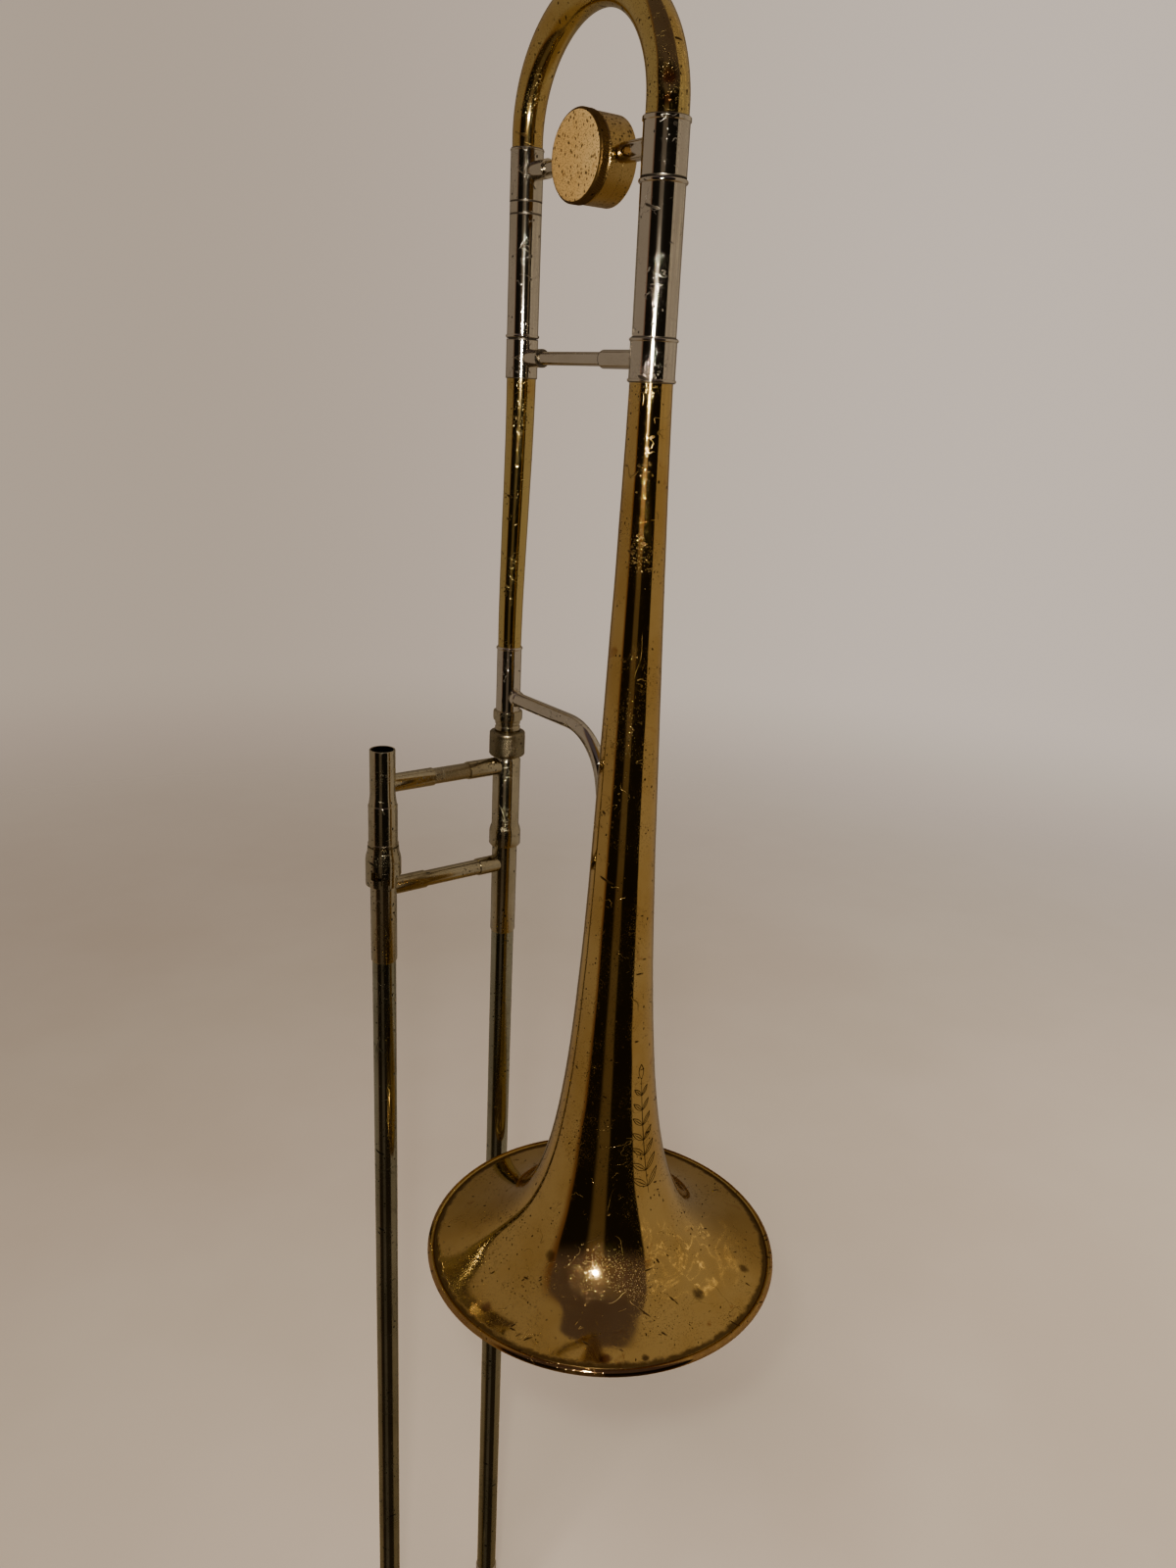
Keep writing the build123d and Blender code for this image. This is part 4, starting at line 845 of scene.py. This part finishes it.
def make_floor():
    """Plain pale floor that fades into the backdrop far from the object."""
    bpy.ops.mesh.primitive_circle_add(vertices=96, radius=STAGE_RADIUS, fill_type="NGON",
                                      location=(0, 0, cad_bounds[0][2]))
    floor = bpy.context.object
    floor.name = "floor"
    shader = Shader("pale_floor")
    mottle = shader.noise(2.0, 4.0)
    tone = shader.blend(shader.ramp(mottle, 0.3, 0.7), (0.56, 0.48, 0.40), (0.52, 0.44, 0.36))
    shader.finish(tone, shader.ramp(mottle, 0.3, 0.7, 0.6, 0.7), metallic=0.0)
    length = shader.node("ShaderNodeVectorMath", operation="LENGTH")
    shader.link(shader.place, length.inputs[0])
    shader.link(shader.ramp(length.outputs["Value"], 0.7, 3.6, 1.0, 0.0), shader.surface.inputs["Alpha"])
    floor.data.materials.append(shader.material)
    floor.visible_glossy = False


def make_backdrop():
    """Pale shell far round the object, seen by the camera only; its glow carries painted shade, darker
    towards one side.
    """
    bpy.ops.mesh.primitive_uv_sphere_add(segments=64, ring_count=32, radius=STAGE_RADIUS, location=(0, 0, 0))
    backdrop = bpy.context.object
    backdrop.name = "backdrop"
    shader = Shader("pale_backdrop")
    shader.tree.nodes.remove(shader.surface)
    glow = shader.node("ShaderNodeEmission")
    across = shader.dot((cos(CAMERA_YAW), -sin(CAMERA_YAW), 0.0), shader.place)
    # painted shade: the glow grades from the darker tone on one side to the lighter tone on the other
    shader.link(shader.blend(shader.ramp(across, -3.5, 3.5), *BACKDROP_SHADED_AND_LIT_TONES), glow.inputs["Color"])
    shader.link(glow.outputs[0], shader.tree.nodes["Material Output"].inputs["Surface"])
    backdrop.data.materials.append(shader.material)
    hide_from_light(backdrop)


def set_contrast():
    """A little more contrast than the plain film curve, as a flash photograph has."""
    bpy.context.scene.view_settings.look = "AgX - Medium High Contrast"


class World(Shader):
    """The room that the metal mirrors: pale walls, tan below, and a dark room on one side."""

    def __init__(self):
        world = bpy.data.worlds.new("soft_room")
        bpy.context.scene.world = world
        world.use_nodes = True
        self.tree = world.node_tree
        self.surface = self.tree.nodes["Background"]
        self.place = self.node("ShaderNodeTexCoord").outputs["Generated"]

    def dark_reach(self, toward):
        """How far to each side the dark room reaches: wide towards the camera, narrow overhead."""
        wide = self.math("MULTIPLY", self.math("MAXIMUM", toward, 0.0), 0.95)
        narrow = self.math("MULTIPLY", self.math("MINIMUM", toward, 0.0), 0.48)
        return self.math("ADD", self.math("ADD", wide, narrow), 0.27)

    def dark_room(self, aside, height):
        """Tones inside the dark room: black to one side, a brown streak, maroon overhead."""
        shade = self.blend(self.ramp(height, -0.40, -0.62), (0.014, 0.012, 0.009), (0.040, 0.028, 0.018))
        streak = self.math("MULTIPLY", self.ramp(aside, -0.38, -0.24), self.ramp(aside, 0.10, 0.02))
        shade = self.blend(self.math("MULTIPLY", streak, 0.75), shade, (0.13, 0.105, 0.08))
        return self.blend(self.ramp(height, 0.30, 0.62), shade, (0.090, 0.072, 0.080))

    def glints(self, aside, height):
        """Thin bright curls high on one side, as light thrown on a wall by the bell."""
        field = self.noise(3.6, 2.5, 0.5, distortion=1.6)
        line = self.ramp(self.math("ABSOLUTE", self.math("SUBTRACT", field, 0.5), 0.0), 0.013, 0.0)
        place = self.math("MULTIPLY", self.ramp(aside, 0.45, 0.62), self.ramp(height, -0.10, 0.20))
        return self.math("MULTIPLY", line, place)

    def build(self):
        """Pale walls, tan below, curls of light on one side and the dark room."""
        height = self.dot((0.0, 0.0, 1.0), self.place)
        toward = self.dot(DARK_SIDE, self.place)
        aside = self.dot((-DARK_SIDE[1], DARK_SIDE[0], 0.0), self.place)
        walls = self.blend(self.ramp(aside, -0.4, 0.4), (0.235, 0.20, 0.165), (0.28, 0.24, 0.195))
        behind = self.ramp(toward, -0.60, -0.88, 0.0, 0.62)
        walls = self.blend(behind, walls, (0.10, 0.08, 0.06))
        walls = self.blend(self.ramp(height, -0.50, -0.80), walls, (0.20, 0.145, 0.085))
        walls = self.blend(self.glints(aside, height), walls, (0.95, 0.80, 0.55))
        shade = self.dark_room(aside, height)
        inside = self.math("SUBTRACT", self.dark_reach(toward), self.math("ABSOLUTE", aside, 0.0))
        far_edge = self.math("ADD", toward, self.math("MULTIPLY", aside, 0.25))
        dark = self.math("MULTIPLY", self.ramp(inside, -0.02, 0.03), self.ramp(far_edge, -0.25, -0.22))
        soft = self.math("MULTIPLY", self.ramp(inside, -0.24, -0.02), self.ramp(far_edge, -0.10, 0.20))
        soft = self.math("MULTIPLY", soft, self.ramp(aside, 0.1, -0.1))
        edge = self.blend(soft, walls, (0.13, 0.075, 0.05))
        room = self.blend(dark, edge, shade)
        self.link(room, self.surface.inputs["Color"])
        self.surface.inputs["Strength"].default_value = 1.0


def make_camera():
    """Camera close in front, above the middle and looking a little down."""
    forward = Vector((sin(CAMERA_YAW) * cos(CAMERA_PITCH), cos(CAMERA_YAW) * cos(CAMERA_PITCH),
                      -sin(CAMERA_PITCH)))
    level = Vector((cos(CAMERA_YAW), -sin(CAMERA_YAW), 0.0))
    down = forward.cross(level)
    right = cos(CAMERA_ROLL) * level + sin(CAMERA_ROLL) * down
    up = sin(CAMERA_ROLL) * level - cos(CAMERA_ROLL) * down
    matrix = Matrix((right, up, -forward)).transposed().to_4x4()
    matrix.translation = CAMERA_PLACE
    data = bpy.data.cameras.new("camera")
    data.sensor_width = 36.0
    data.lens = CAMERA_LENS
    data.clip_start = 0.01
    camera = bpy.data.objects.new("camera", data)
    bpy.context.scene.collection.objects.link(camera)
    camera.matrix_world = matrix
    bpy.context.scene.camera = camera
    return right, up


def area_lamp(name, place, size, power, colour, mirrored):
    """Soft square lamp aimed at the middle of the object."""
    data = bpy.data.lights.new(name, "AREA")
    data.size = size
    data.energy = power
    data.color = colour
    lamp = bpy.data.objects.new(name, data)
    bpy.context.scene.collection.objects.link(lamp)
    lamp.location = place
    lamp.rotation_euler = (Vector(LAMP_TARGET) - Vector(place)).to_track_quat("-Z", "Y").to_euler()
    lamp.visible_glossy = mirrored


LAMP_TARGET = (0.04, -0.06, 0.75)

dress_cad_nodes()
make_bell()
make_bow()
make_gooseneck()
make_slide_tubes()
make_lock_nut()
make_weight_cap()
make_sprig()
make_floor()
make_backdrop()
set_contrast()
World().build()
camera_right, camera_up = make_camera()
FLASH_PLACE = CAMERA_PLACE - camera_right * 0.03 + camera_up * 0.05
area_lamp("flash", FLASH_PLACE, 0.03, 2.4, (1.0, 0.94, 0.84), True)
area_lamp("key", (-1.4, -1.2, 2.4), 1.2, 52.0, (1.0, 0.95, 0.88), False)
area_lamp("fill", (1.8, -0.6, 1.6), 1.4, 32.0, (1.0, 0.96, 0.9), False)
